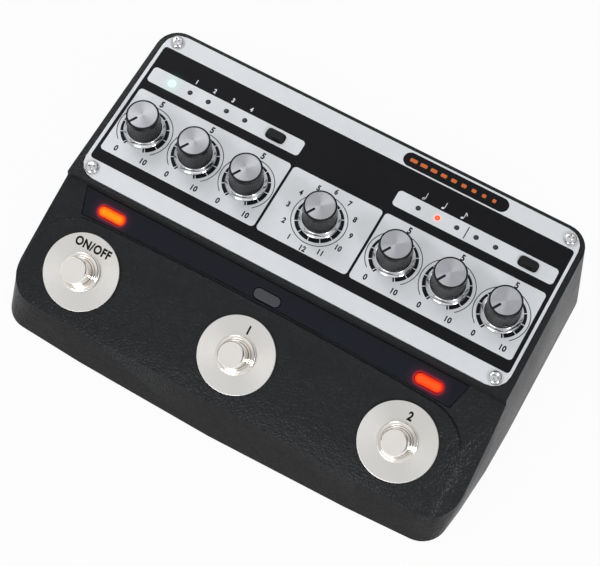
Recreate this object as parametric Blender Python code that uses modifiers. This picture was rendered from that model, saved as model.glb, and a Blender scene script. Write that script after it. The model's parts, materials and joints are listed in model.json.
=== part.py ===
"""Analog delay machine for the floor: seven dials, three footswitches and a row of rear jacks.

Metres, +Z up. The origin lies on the ground under the middle of the machine's outline.
+X is the player's right and +Y is the jack side.
"""
import math

import bmesh
import bpy
from mathutils import Matrix, Vector

# Clearances
SEAT_GAP = 0.0003
RUN_GAP = 0.0003
OVERRUN = 0.004

# Faceplate, the printed aluminium panel
FACE_WIDTH = 0.1772
FACE_DEPTH = 0.0694
FACE_THICKNESS = 0.0012
FACE_RADIUS = 0.0070
FACE_PROUD = 0.0002
FACE_SCREW_SIDE_INSET = 0.0046
FACE_SCREW_END_INSET = 0.0037
PANEL_HEIGHT = 0.0392
PANEL_TILT = math.radians(2.7)

# Platform, the raised rear half of the casting that carries the faceplate
RIM_SIDE = 0.0024
RIM_FRONT = 0.0019
RIM_REAR = 0.0014
RIM_RADIUS = 0.0090
LEDGE_WIDTH = 0.0080
LEDGE_THICKNESS = 0.0028
RIM_ROUNDING = 0.0010

# Deck, the sloping front half that carries the footswitches
STEP_HEIGHT = 0.0032
DECK_SLOPE = math.radians(21.9)
DECK_LENGTH = 0.0496
DECK_SHIFT = -0.0028
DECK_WALL = 0.0025
SHOULDER_ROUNDING = 0.0034
FRONT_ROUNDING = 0.0012
PLATEAU_OVERHANG = 0.0019
PLATEAU_HEIGHT = 0.0008
PLATEAU_RAMP = 0.0018
PLATEAU_REAR = 0.0093
PLATEAU_BOW = 0.0026
PLATEAU_RADIUS = 0.0200

# Walls of the casting
WALL = 0.0025
SIDE_FLARE = 0.0050
FRONT_FLARE = 0.0080
REAR_FLARE = 0.0005
BASE_TAPER = 0.0045
DECK_TAPER = 0.0010
BASE_BOW = 0.0031
BASE_FRONT_RADIUS = 0.0105
DECK_FRONT_RADIUS = 0.0130
BODY_LIFT = 0.0015
PILLAR_RADIUS = 0.0036
PILLAR_INSET = 0.0120
PILLAR_REAR_INSET = 0.0105
PILLAR_FRONT_INSET = 0.0165

# Light strip and its three windows
STRIP_EDGE = 0.0086
STRIP_THICKNESS = 0.0012
STRIP_MARGIN = 0.0006
STRIP_END_SLANT = 0.0030
WINDOW_LENGTH = 0.0108
WINDOW_WIDTH = 0.0040
WINDOW_DOWN = 0.0062
WINDOW_DEPTH = 0.0036

# Footswitches
SWITCH_EDGE = 0.0221
SWITCH_DOWN = 0.0299
WASHER_RADIUS = 0.0148
WASHER_THICKNESS = 0.0010
NUT_RADIUS = 0.0068
NUT_HEIGHT = 0.0022
BUSHING_WALL = 0.00055
BUSHING_SINK = 0.0004
PLUNGER_RADIUS = 0.00485
PLUNGER_RISE = 0.0093
PLUNGER_CHAMFER = 0.0005
PLUNGER_DEPTH = 0.0080
PLUNGER_TRAVEL = 0.0025
SWITCH_BODY_WIDTH = 0.0150
SWITCH_BODY_HEIGHT = 0.0085
SWITCH_BOARD_THICKNESS = 0.0012
SWITCH_BOARD_DEPTH = 0.0180
SWITCH_BOARD_MARGIN = 0.0030

# Dials
KNOB_ROW = -0.0080
KNOB_EDGE = 0.0136
KNOB_PITCH = 0.0220
KNOB_TOP = 0.01275
KNOB_BASE_RADIUS = 0.0066
KNOB_TOP_RADIUS = 0.0062
CAP_RADIUS = 0.0056
CAP_THICKNESS = 0.0007
CAP_PROUD = 0.00015
SKIRT_RADIUS = 0.0080
SKIRT_LIFT = 0.0006
SKIRT_EDGE = 0.0004
SKIRT_HEIGHT = 0.0012
SHAFT_RADIUS = 0.0028
SHAFT_RISE = 0.0090
SHAFT_DEPTH = 0.0055
POT_BUSHING_WALL = 0.0007
POT_BUSHING_RISE = 0.0002
POT_WIDTH = 0.0100
POT_HEIGHT = 0.0065
SELECTOR_RADIUS = 0.0085

# Mode lights and the two small buttons
LIGHT_ROW = 0.0144
LIGHT_PITCH = 0.0080
LIGHTS_PER_ROW = 5
LIGHT_RADIUS = 0.00075
LIGHT_RISE = -0.0001
LEFT_ROW_EDGE = 0.0280
RIGHT_ROW_EDGE = 0.0432
BUTTON_OFFSET = 0.0294
BUTTON_WIDTH = 0.0074
BUTTON_DEPTH = 0.0039
BUTTON_RADIUS = 0.0012
BUTTON_RISE = 0.0014
BUTTON_FLANGE = 0.0010
BUTTON_FLANGE_THICKNESS = 0.0010
BUTTON_STEM = 0.0040
BUTTON_TRAVEL = 0.0005
TACT_WIDTH = 0.0060

# Boards
BOARD_THICKNESS = 0.0016
MAIN_BOARD_MARGIN = 0.0040
BOARD_SIDE_MARGIN = 0.0040

# Rear jacks
JACK_COUNT = 5
SOCKET_EDGE = 0.0220
JACK_HEIGHT = 0.0190
JACK_PITCH = 0.0235
JACK_REACH = 0.0064
JACK_BUSHING_RADIUS = 0.00475
JACK_BORE_RADIUS = 0.0033
JACK_BORE_DEPTH = 0.0260
JACK_BODY_WIDTH = 0.0160
JACK_BODY_DEPTH = 0.0220
JACK_BODY_HEIGHT = 0.0120
JACK_NUT_RADIUS = 0.0076
JACK_NUT_THICKNESS = 0.0025
MINI_COUNT = 2
MINI_PITCH = 0.0120
MINI_CLEARANCE = 0.0180
MINI_RADIUS = 0.0030
MINI_BORE_RADIUS = 0.00185
MINI_BORE_DEPTH = 0.0120
MINI_BODY_WIDTH = 0.0070
MINI_BODY_DEPTH = 0.0120
MINI_REACH = 0.0006
INLET_CLEARANCE = 0.0240
INLET_RADIUS = 0.0050
INLET_BORE_RADIUS = 0.0032
INLET_BORE_DEPTH = 0.0090
INLET_PIN_RADIUS = 0.0010
INLET_PIN_SINK = 0.0010
INLET_BODY_WIDTH = 0.0110
INLET_BODY_DEPTH = 0.0140
INLET_REACH = 0.0004
JACK_BOARD_MARGIN = 0.0058

# Base plate, feet and screws
PLATE_LIFT = 0.0022
PLATE_THICKNESS = 0.0012
FOOT_RADIUS = 0.0065
FOOT_CHAMFER = 0.0004
FOOT_INSET = 0.0210
SCREW_RADIUS = 0.00145
SCREW_GRIP = 0.0060
SCREW_HEAD_RADIUS = 0.0029
SCREW_HEAD_HEIGHT = 0.0010
FACE_SCREW_HEAD_RADIUS = 0.0027
FACE_SCREW_HEAD_HEIGHT = 0.0013
FACE_SCREW_SLOT_WIDTH = 0.0007
FACE_SCREW_SLOT_LENGTH = 0.0028
FACE_SCREW_SLOT_DEPTH = 0.0008

# Counts of sides and steps
ROUND_SIDES = 24
SMALL_SIDES = 16
DOT_SIDES = 10
CORNER_STEPS = 4
DECK_PLATE_STEPS = 8

# Shares of the sizes that they follow
SIDE_CURVE_SHARES = (1 / 3, 2 / 3)
FRONT_CURVE_SHARES = (0.62,)
PLATEAU_CURVE_SHARES = (0.3, 0.6)
TAPER_START_SHARE = 0.45
HEAD_CROWN_SHARE = 0.45

# Places worked out from the sizes above
RIM_HALF = FACE_WIDTH / 2 + RIM_SIDE
BASE_HALF = RIM_HALF + SIDE_FLARE
RIM_FRONT_Y = -FACE_DEPTH / 2 - RIM_FRONT
RIM_REAR_Y = FACE_DEPTH / 2 + RIM_REAR
DECK_TILT = PANEL_TILT + DECK_SLOPE
RIM_TOP = -FACE_PROUD
RECESS_FLOOR = -FACE_THICKNESS - SEAT_GAP
LEDGE_UNDERSIDE = RECESS_FLOOR - LEDGE_THICKNESS
DECK_UNDERSIDE = -PLATEAU_HEIGHT - DECK_WALL
BOARD_TOP = RECESS_FLOOR - POT_HEIGHT
SWITCH_BODY_BOTTOM = DECK_UNDERSIDE - SEAT_GAP - SWITCH_BODY_HEIGHT
BUSHING_RADIUS = PLUNGER_RADIUS + RUN_GAP + BUSHING_WALL
WASHER_TOP = SEAT_GAP + WASHER_THICKNESS
NUT_TOP = WASHER_TOP + SEAT_GAP + NUT_HEIGHT
KNOB_X = FACE_WIDTH / 2 - KNOB_EDGE
SWITCH_PITCH = FACE_WIDTH / 2 - SWITCH_EDGE
STRIP_HALF = FACE_WIDTH / 2 - STRIP_EDGE
PLATEAU_HALF = FACE_WIDTH / 2 + PLATEAU_OVERHANG

STEP_Y = RIM_FRONT_Y * math.cos(PANEL_TILT) + STEP_HEIGHT * math.sin(PANEL_TILT)
STEP_Z = PANEL_HEIGHT + RIM_FRONT_Y * math.sin(PANEL_TILT) - STEP_HEIGHT * math.cos(PANEL_TILT)
DECK_FRONT_Y = STEP_Y - DECK_LENGTH * math.cos(DECK_TILT)
DECK_FRONT_Z = STEP_Z - DECK_LENGTH * math.sin(DECK_TILT)
BASE_FRONT_Y = DECK_FRONT_Y - FRONT_FLARE
BASE_REAR_Y = RIM_REAR_Y * math.cos(PANEL_TILT) + REAR_FLARE
CENTRE_SHIFT = -(BASE_FRONT_Y + BASE_REAR_Y + JACK_REACH) / 2

FRONT = BASE_FRONT_Y + CENTRE_SHIFT
REAR = BASE_REAR_Y + CENTRE_SHIFT
TAPER_START = FRONT + (REAR - FRONT) * TAPER_START_SHARE
PLATE_TOP = PLATE_LIFT + PLATE_THICKNESS
RIM_HEIGHT = PANEL_HEIGHT + RIM_REAR_Y * math.sin(PANEL_TILT)
FLARE_PER_HEIGHT = SIDE_FLARE / (PANEL_HEIGHT - BODY_LIFT)

PANEL = Matrix.Translation((0, CENTRE_SHIFT, PANEL_HEIGHT)) @ Matrix.Rotation(PANEL_TILT, 4, "X")
DECK = (
    PANEL
    @ Matrix.Translation((DECK_SHIFT, RIM_FRONT_Y, -STEP_HEIGHT))
    @ Matrix.Rotation(DECK_SLOPE, 4, "X")
)
REARWARD = Matrix.Translation((0, REAR, JACK_HEIGHT)) @ Matrix.Rotation(-math.pi / 2, 4, "X")
ACROSS = Matrix(((0, 0, 1, 0), (1, 0, 0, 0), (0, 1, 0, 0), (0, 0, 0, 1)))

SELECTOR = "mode"
DIALS = (
    ("rate", -KNOB_X),
    ("depth", -KNOB_X + KNOB_PITCH),
    ("variation", -KNOB_X + 2 * KNOB_PITCH),
    (SELECTOR, 0.0),
    ("time", KNOB_X - 2 * KNOB_PITCH),
    ("intensity", KNOB_X - KNOB_PITCH),
    ("volume", KNOB_X),
)
SWITCHES = (("left", -SWITCH_PITCH), ("centre", 0.0), ("right", SWITCH_PITCH))
LIGHT_ROWS = (
    ("left", -FACE_WIDTH / 2 + LEFT_ROW_EDGE),
    ("right", FACE_WIDTH / 2 - RIGHT_ROW_EDGE),
)
BUTTON_NAMES = {"left": "memory_button", "right": "division_button"}

PARTS = bpy.data.collections.new("analog_delay_machine")
CUTTERS = bpy.data.collections.new("cutters")


def finish(name, colour, roughness, metallic):
    """A plain surface for one kind of piece."""
    surface = bpy.data.materials.new(name)
    surface.use_nodes = True
    shader = surface.node_tree.nodes["Principled BSDF"]
    shader.inputs["Base Color"].default_value = (*colour, 1)
    shader.inputs["Roughness"].default_value = roughness
    shader.inputs["Metallic"].default_value = metallic
    return surface


def place(name, data, matrix, surface=None):
    """An object of the machine that carries its own surface."""
    piece = bpy.data.objects.new(name, data)
    piece.matrix_world = matrix
    PARTS.objects.link(piece)
    if surface is not None and not data.materials:
        data.materials.append(surface)
    return piece


def place_cutter(name, data, matrix):
    """An object that only shapes others."""
    cutter = bpy.data.objects.new(name, data)
    cutter.matrix_world = matrix
    cutter.display_type = "WIRE"
    cutter.hide_render = True
    CUTTERS.objects.link(cutter)
    return cutter


def boolean(target, cutter, operation="DIFFERENCE"):
    """Cut or join one object with another."""
    step = target.modifiers.new(cutter.name, "BOOLEAN")
    step.operation = operation
    step.object = cutter
    step.solver = "EXACT"


def evaluated_mesh(source):
    """The mesh of an object with its modifiers applied and its seams welded."""
    bpy.context.view_layer.update()
    graph = bpy.context.evaluated_depsgraph_get()
    mesh = bpy.data.meshes.new_from_object(source.evaluated_get(graph))
    form = bmesh.new()
    form.from_mesh(mesh)
    bmesh.ops.remove_doubles(form, verts=form.verts, dist=SEAT_GAP / 100)
    form.to_mesh(mesh)
    form.free()
    return mesh


def settle(source):
    """Swap an object's modifiers for the mesh that they make."""
    mesh = evaluated_mesh(source)
    old = source.data
    source.modifiers.clear()
    if isinstance(old, bpy.types.Mesh):
        source.data = mesh
        return source
    name, matrix = source.name, source.matrix_world.copy()
    bpy.data.objects.remove(source)
    return place_cutter(name, mesh, matrix)


def smooth(piece, degrees=35):
    """Shade a piece smooth, with its corners kept crisp."""
    piece.data.shade_smooth()
    piece.data.set_sharp_from_angle(angle=math.radians(degrees))
    return piece


def arc(corner, before, after, radius, steps):
    """Points of a round corner between two straight edges."""
    arrive = (before - corner).normalized()
    leave = (after - corner).normalized()
    half_angle = arrive.angle(leave) / 2
    centre = corner + (arrive + leave).normalized() * (radius / math.sin(half_angle))
    reach = radius / math.tan(half_angle)
    start = corner + arrive * reach - centre
    end = corner + leave * reach - centre
    return [centre + start.slerp(end, k / steps) * radius for k in range(steps + 1)]


def rounded(corners, steps=CORNER_STEPS):
    """An outline from corners given as (x, y, radius)."""
    spots = [Vector((x, y, 0)) for x, y, radius in corners]
    outline = []
    for k, (x, y, radius) in enumerate(corners):
        if radius > 0:
            outline += arc(spots[k], spots[k - 1], spots[(k + 1) % len(spots)], radius, steps)
        else:
            outline.append(spots[k])
    return [(spot.x, spot.y) for spot in outline]


def rounded_rectangle(width, depth, radius, steps=CORNER_STEPS):
    """A rectangle about the origin with round corners."""
    x, y = width / 2, depth / 2
    return rounded([(x, y, radius), (-x, y, radius), (-x, -y, radius), (x, -y, radius)], steps)


def circle(radius, sides, x=0.0, y=0.0):
    """A round outline."""
    turn = 2 * math.pi / sides
    return [(x + radius * math.cos(k * turn), y + radius * math.sin(k * turn)) for k in range(sides)]


def shifted(outline, x, y):
    """An outline moved in its plane."""
    return [(px + x, py + y) for px, py in outline]


def flat(name, outlines, bottom, top):
    """A curve that fills flat outlines and has thickness, between two heights of its frame."""
    curve = bpy.data.curves.new(name, "CURVE")
    curve.dimensions = "2D"
    curve.fill_mode = "BOTH"
    curve.extrude = (top - bottom) / 2
    for outline in outlines:
        spline = curve.splines.new("POLY")
        spline.points.add(len(outline) - 1)
        for point, (x, y) in zip(spline.points, outline):
            point.co = (x, y, 0, 1)
        spline.use_cyclic_u = True
    return curve, Matrix.Translation((0, 0, (top + bottom) / 2))


def flat_piece(name, outlines, bottom, top, frame, surface):
    """A flat piece of the machine."""
    curve, lift = flat(name, outlines, bottom, top)
    return place(name, curve, frame @ lift, surface)


def flat_cutter(name, outlines, bottom, top, frame):
    """A flat cutter, as a mesh."""
    curve, lift = flat(name, outlines, bottom, top)
    return settle(place_cutter(name, curve, frame @ lift))


def loft_mesh(name, rings):
    """A closed skin over rings of the same number of points, from the lowest to the highest."""
    form = bmesh.new()
    loops = [[form.verts.new(point) for point in ring] for ring in rings]
    for lower, upper in zip(loops, loops[1:]):
        for k in range(len(lower)):
            after = (k + 1) % len(lower)
            form.faces.new((lower[k], lower[after], upper[after], upper[k]))
    form.faces.new(list(reversed(loops[0])))
    form.faces.new(loops[-1])
    bmesh.ops.recalc_face_normals(form, faces=form.faces)
    mesh = bpy.data.meshes.new(name)
    form.to_mesh(mesh)
    form.free()
    return mesh


def stacked(name, levels):
    """A closed skin over flat outlines at their heights, given as (outline, height)."""
    return loft_mesh(name, [[(x, y, height) for x, y in outline] for outline, height in levels])


def turned_mesh(name, profile, closed=False):
    """The line that a turned piece is made from, outer side downwards."""
    points = [(radius, 0, height) for radius, height in profile]
    edges = [(k, k + 1) for k in range(len(points) - 1)]
    if closed:
        edges.append((len(points) - 1, 0))
    mesh = bpy.data.meshes.new(name)
    mesh.from_pydata(points, edges, [])
    return mesh


def turn(piece, sides):
    """Turn a profile about its own Z axis."""
    step = piece.modifiers.new("turn", "SCREW")
    step.angle = 2 * math.pi
    step.steps = sides
    step.render_steps = sides
    step.use_merge_vertices = True
    step.merge_threshold = SEAT_GAP / 100
    step.use_smooth_shade = True
    return piece


def turned_form(name, profile, sides, closed=False):
    """The finished mesh of a turned shape, for pieces that are joined or cut."""
    guide = turn(place_cutter(name, turned_mesh(name, profile, closed), Matrix()), sides)
    mesh = evaluated_mesh(guide)
    bpy.data.objects.remove(guide)
    return mesh


def drill(form, matrix, radius, bottom, top, sides):
    """Add a round cutter between two heights of a frame."""
    middle = Matrix.Translation((0, 0, (top + bottom) / 2))
    bmesh.ops.create_cone(
        form,
        cap_ends=True,
        segments=sides,
        radius1=radius,
        radius2=radius,
        depth=top - bottom,
        matrix=matrix @ middle,
    )


def box(form, matrix, size, bottom, top):
    """Add a box with a square or oblong plan between two heights of a frame."""
    width, depth = size
    scale = Matrix.Diagonal((width, depth, top - bottom, 1))
    middle = Matrix.Translation((0, 0, (top + bottom) / 2))
    bmesh.ops.create_cube(form, size=1, matrix=matrix @ middle @ scale)


def form_mesh(name, form):
    """Close a bmesh into a mesh."""
    mesh = bpy.data.meshes.new(name)
    form.to_mesh(mesh)
    form.free()
    return mesh


def at(x, y, z=0.0):
    """A shift within a frame."""
    return Matrix.Translation((x, y, z))


def body_ring(height, half, rear, front, taper, bow, front_radius, inset):
    """The casting's outline at one height, drawn in by an inset."""
    half, rear, front = half - inset, rear - inset, front + inset
    rear_radius = RIM_RADIUS - inset
    corner_x, corner_y = half - taper, front + bow
    side = [(half, rear, rear_radius), (half, TAPER_START, 0)]
    for share in SIDE_CURVE_SHARES:
        y = TAPER_START + (corner_y - TAPER_START) * share
        side.append((half - taper * share * share, y, 0))
    side.append((corner_x, corner_y, front_radius - inset))
    for share in FRONT_CURVE_SHARES:
        side.append((corner_x * share, front + bow * share * share, 0))
    mirrored = [(-x, y, radius) for x, y, radius in reversed(side)]
    return [(x, y, height) for x, y in rounded(side + [(0, front, 0)] + mirrored)]


def half_width(height):
    """Half of the casting's width behind the deck at one height."""
    return BASE_HALF - FLARE_PER_HEIGHT * (height - BODY_LIFT)


def body_rings(bottom, inset):
    """The casting's three outlines: its foot, the deck's front edge and above the platform."""
    top = RIM_HEIGHT + OVERRUN
    front = DECK_FRONT_Y + CENTRE_SHIFT
    rim_rear = REAR - REAR_FLARE
    foot = (half_width(bottom), REAR, FRONT, BASE_TAPER, BASE_BOW, BASE_FRONT_RADIUS)
    edge = (half_width(DECK_FRONT_Z), REAR, front, DECK_TAPER, 0, DECK_FRONT_RADIUS)
    crown = (half_width(top), rim_rear, front, DECK_TAPER, 0, DECK_FRONT_RADIUS)
    levels = ((bottom, foot), (DECK_FRONT_Z, edge), (top, crown))
    return [body_ring(height, *sizes, inset) for height, sizes in levels]


def trim_above(mesh, height):
    """Remove what stands above a height of the panel's frame and close the cut."""
    form = bmesh.new()
    form.from_mesh(mesh)
    point = PANEL @ Vector((0, 0, height))
    normal = PANEL.to_3x3() @ Vector((0, 0, 1))
    geometry = form.verts[:] + form.edges[:] + form.faces[:]
    bmesh.ops.bisect_plane(
        form, geom=geometry, plane_co=point, plane_no=normal, clear_outer=True, dist=SEAT_GAP / 100
    )
    rim = [edge for edge in form.edges if edge.is_boundary]
    bmesh.ops.edgeloop_fill(form, edges=rim)
    bmesh.ops.recalc_face_normals(form, faces=form.faces)
    form.to_mesh(mesh)
    form.free()


def deck_outline(drop, wall_shift):
    """Side view of the space above the deck, in the panel's frame, as (y, z)."""
    wall = RIM_FRONT_Y + wall_shift
    far = RIM_FRONT_Y - DECK_LENGTH - FRONT_FLARE - OVERRUN
    sky = OVERRUN + RIM_RADIUS

    def surface(y):
        return -STEP_HEIGHT + (y - RIM_FRONT_Y) * math.tan(DECK_SLOPE) - drop / math.cos(DECK_SLOPE)

    return [(wall, surface(wall)), (wall, sky), (far, sky), (far, surface(far))]


def deck_space(name, drop, wall_shift):
    """A cutter for the space above the deck."""
    reach = BASE_HALF + OVERRUN
    return flat_cutter(name, [deck_outline(drop, wall_shift)], -reach, reach, PANEL @ ACROSS)


def plateau_outline(inset):
    """The plateau's outline in the deck's frame, drawn in by an inset."""
    half, rear = PLATEAU_HALF - inset, -PLATEAU_REAR - inset
    front = -DECK_LENGTH - FRONT_FLARE - OVERRUN - WALL
    side = [(half, front, 0), (half, rear - PLATEAU_BOW, PLATEAU_RADIUS - inset)]
    for share in reversed(PLATEAU_CURVE_SHARES):
        side.append((half * share, rear - PLATEAU_BOW * share * share, 0))
    mirrored = [(-x, y, radius) for x, y, radius in reversed(side)]
    return rounded(side + [(0, rear, 0)] + mirrored, DECK_PLATE_STEPS)


def plateau_form():
    """A cutter that saves the plateau when the space above the deck is cut."""
    levels = (
        (plateau_outline(0), -PLATEAU_HEIGHT - OVERRUN),
        (plateau_outline(0), -PLATEAU_HEIGHT),
        (plateau_outline(PLATEAU_RAMP), 0),
    )
    return place_cutter("plateau_form", stacked("plateau_form", levels), DECK)


def strip_outline(margin):
    """The light strip's outline in the deck's frame, grown by a margin."""
    half = STRIP_HALF + margin
    rear = -STRIP_MARGIN + margin
    front = -PLATEAU_REAR + STRIP_MARGIN - margin
    foot = half - STRIP_END_SLANT

    def edge(x):
        return front - PLATEAU_BOW * (x / PLATEAU_HALF) ** 2

    shares = PLATEAU_CURVE_SHARES
    right = [(half, rear)] + [(foot, edge(foot))]
    right += [(PLATEAU_HALF * share, edge(PLATEAU_HALF * share)) for share in reversed(shares)]
    left = [(-x, y) for x, y in reversed(right)]
    return right + [(0, edge(0))] + left


def pill(length, width, x, y):
    """A pill-shaped outline."""
    return shifted(rounded_rectangle(length, width, width / 2 - SEAT_GAP / 100), x, y)


def corners(x, front, rear):
    """Four places by name, mirrored left and right."""
    sides, rows = (("left", -x), ("right", x)), (("front", front), ("rear", rear))
    return {f"{side}_{row}": (px, py) for side, px in sides for row, py in rows}


def pillar_places():
    """Where the pillars for the base screws stand, in plan."""
    return corners(BASE_HALF - PILLAR_INSET, FRONT + PILLAR_FRONT_INSET, REAR - PILLAR_REAR_INSET)


def face_screw_places():
    """Where the faceplate's four screws go, in the panel's frame."""
    x = FACE_WIDTH / 2 - FACE_SCREW_SIDE_INSET
    y = FACE_DEPTH / 2 - FACE_SCREW_END_INSET
    return corners(x, -y, y)


def socket_places():
    """Places across the rear wall, spread from end to end: two small jacks, five large, the inlet."""
    spaces = [MINI_PITCH] * (MINI_COUNT - 1) + [MINI_CLEARANCE]
    spaces += [JACK_PITCH] * (JACK_COUNT - 1) + [INLET_CLEARANCE]
    reach = BASE_HALF - SOCKET_EDGE
    stretch = 2 * reach / sum(spaces)
    places = [-reach]
    for space in spaces:
        places.append(places[-1] + space * stretch)
    return places


def mini_places():
    """The two small jacks' places, left of the large ones."""
    return socket_places()[:MINI_COUNT]


def jack_places():
    """The quarter-inch jacks' places."""
    return socket_places()[MINI_COUNT:-1]


def inlet_place():
    """The power inlet's place, right of the large jacks."""
    return socket_places()[-1]


def light_places(row_x):
    """A row of mode lights."""
    middle = (LIGHTS_PER_ROW - 1) / 2
    return [row_x + (k - middle) * LIGHT_PITCH for k in range(LIGHTS_PER_ROW)]


def round_edges(piece):
    """Round the casting's upper edges: crisp on the platform and front, broad along the deck."""
    form = bmesh.new()
    form.from_mesh(piece.data)
    weights = form.edges.layers.float.new("bevel_weight_edge")
    steepest, flattest = math.cos(math.radians(45)), math.cos(math.radians(60))
    step_world = STEP_Y + CENTRE_SHIFT
    for edge in form.edges:
        if len(edge.link_faces) != 2 or not edge.is_convex:
            continue
        lows = sorted(face.normal.z for face in edge.link_faces)
        if lows[0] > flattest or lows[1] < steepest or lows[0] < -steepest:
            continue
        run = (edge.verts[0].co - edge.verts[1].co).normalized()
        middle = (edge.verts[0].co + edge.verts[1].co) / 2
        if middle.y > step_world - SEAT_GAP:
            edge[weights] = RIM_ROUNDING / SHOULDER_ROUNDING
        elif middle.z > DECK_FRONT_Z - SHOULDER_ROUNDING:
            spare = SHOULDER_ROUNDING - FRONT_ROUNDING
            edge[weights] = (FRONT_ROUNDING + spare * abs(run.y)) / SHOULDER_ROUNDING
    form.to_mesh(piece.data)
    form.free()
    step = piece.modifiers.new("edges", "BEVEL")
    step.limit_method = "WEIGHT"
    step.width = SHOULDER_ROUNDING
    step.segments = 2
    step.use_clamp_overlap = True
    return settle(piece)


def casting_space():
    """A cutter for the casting's inside, which leaves the pillars standing."""
    mesh = loft_mesh("casting_space", body_rings(BODY_LIFT - OVERRUN, WALL))
    trim_above(mesh, LEDGE_UNDERSIDE)
    space = place_cutter("casting_space", mesh, Matrix())
    boolean(space, deck_space("deck_underside", -DECK_UNDERSIDE, WALL))
    pillars = bmesh.new()
    for x, y in pillar_places().values():
        top = RIM_HEIGHT + OVERRUN
        drill(pillars, at(x, y), PILLAR_RADIUS, PLATE_TOP + SEAT_GAP, top, SMALL_SIDES)
    boolean(space, place_cutter("pillar_forms", form_mesh("pillar_forms", pillars), Matrix()))
    return settle(space)


def casting_recesses():
    """Cutters for the shallow seats of the faceplate and the light strip."""
    margin = SEAT_GAP
    face = rounded_rectangle(FACE_WIDTH + 2 * margin, FACE_DEPTH + 2 * margin, FACE_RADIUS + margin)
    floor = -PLATEAU_HEIGHT - STRIP_THICKNESS - SEAT_GAP
    roof = floor + STRIP_THICKNESS + OVERRUN
    return (
        flat_cutter("face_seat", [face], RECESS_FLOOR, OVERRUN, PANEL),
        flat_cutter("strip_seat", [strip_outline(SEAT_GAP)], floor, roof, DECK),
    )


def casting_holes():
    """One cutter for every hole in the casting."""
    form = bmesh.new()
    for x, y in face_screw_places().values():
        hole = SCREW_RADIUS + SEAT_GAP
        drill(form, PANEL @ at(x, y), hole, LEDGE_UNDERSIDE - OVERRUN, OVERRUN, DOT_SIDES)
    for name, x in SWITCHES:
        hole = BUSHING_RADIUS + SEAT_GAP
        low = DECK_UNDERSIDE - OVERRUN
        drill(form, DECK @ at(x, -SWITCH_DOWN), hole, low, OVERRUN, ROUND_SIDES)
    for x, y in pillar_places().values():
        hole = SCREW_RADIUS + SEAT_GAP
        top = PLATE_TOP + SCREW_GRIP + SEAT_GAP
        drill(form, at(x, y), hole, PLATE_TOP - OVERRUN, top, DOT_SIDES)
    rear_holes = [(x, JACK_BUSHING_RADIUS, SMALL_SIDES) for x in jack_places()]
    rear_holes += [(x, MINI_RADIUS, SMALL_SIDES) for x in mini_places()]
    rear_holes.append((inlet_place(), INLET_RADIUS, SMALL_SIDES))
    for x, radius, sides in rear_holes:
        low = -WALL - OVERRUN
        drill(form, REARWARD @ at(x, 0), radius + SEAT_GAP, low, OVERRUN, sides)
    return place_cutter("casting_holes", form_mesh("casting_holes", form), Matrix())


def build_housing():
    """The casting: platform, step, sloping deck and flared walls, open underneath."""
    surface = finish("black_crinkle", (0.020, 0.021, 0.023), 0.55, 0.0)
    mesh = loft_mesh("housing", body_rings(BODY_LIFT, 0))
    trim_above(mesh, RIM_TOP)
    housing = place("housing", mesh, Matrix(), surface)
    above_deck = deck_space("above_deck", PLATEAU_HEIGHT, 0)
    boolean(above_deck, plateau_form())
    boolean(housing, above_deck)
    round_edges(settle(housing))
    boolean(housing, casting_space())
    for seat in casting_recesses():
        boolean(housing, seat)
    window = rounded_rectangle(FACE_WIDTH - 2 * LEDGE_WIDTH, FACE_DEPTH - 2 * LEDGE_WIDTH, FACE_RADIUS)
    boolean(housing, flat_cutter("face_window", [window], LEDGE_UNDERSIDE - OVERRUN, OVERRUN, PANEL))
    length, width = WINDOW_LENGTH + 2 * SEAT_GAP, WINDOW_WIDTH + 2 * SEAT_GAP
    slots = [pill(length, width, x, -WINDOW_DOWN) for name, x in SWITCHES]
    low = DECK_UNDERSIDE - OVERRUN
    boolean(housing, flat_cutter("strip_windows", slots, low, OVERRUN, DECK))
    boolean(housing, casting_holes())
    smooth(settle(housing), 30)


def build_faceplate():
    """The printed aluminium panel with its holes for dials, lights, buttons and screws."""
    surface = finish("face_silver", (0.62, 0.63, 0.65), 0.4, 0.6)
    outlines = [rounded_rectangle(FACE_WIDTH, FACE_DEPTH, FACE_RADIUS)]
    hole = SHAFT_RADIUS + RUN_GAP + POT_BUSHING_WALL + SEAT_GAP
    outlines += [circle(hole, SMALL_SIDES, x, KNOB_ROW) for name, x in DIALS]
    hole = LIGHT_RADIUS + SEAT_GAP
    for name, row_x in LIGHT_ROWS:
        outlines += [circle(hole, DOT_SIDES, x, LIGHT_ROW) for x in light_places(row_x)]
        width, depth = BUTTON_WIDTH + 2 * RUN_GAP, BUTTON_DEPTH + 2 * RUN_GAP
        slot = rounded_rectangle(width, depth, BUTTON_RADIUS + RUN_GAP)
        outlines.append(shifted(slot, row_x + BUTTON_OFFSET, LIGHT_ROW))
    hole = SCREW_RADIUS + SEAT_GAP
    outlines += [circle(hole, DOT_SIDES, x, y) for x, y in face_screw_places().values()]
    flat_piece("faceplate", outlines, -FACE_THICKNESS, 0, PANEL, surface)


def screw_profile(head_radius, head_height, grip):
    """A pan-head screw, its head's underside at zero."""
    crown = head_radius * HEAD_CROWN_SHARE
    return [
        (0, head_height),
        (crown, head_height),
        (head_radius, head_height * HEAD_CROWN_SHARE),
        (head_radius, 0),
        (SCREW_RADIUS, 0),
        (SCREW_RADIUS, -grip),
        (0, -grip),
    ]


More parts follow.
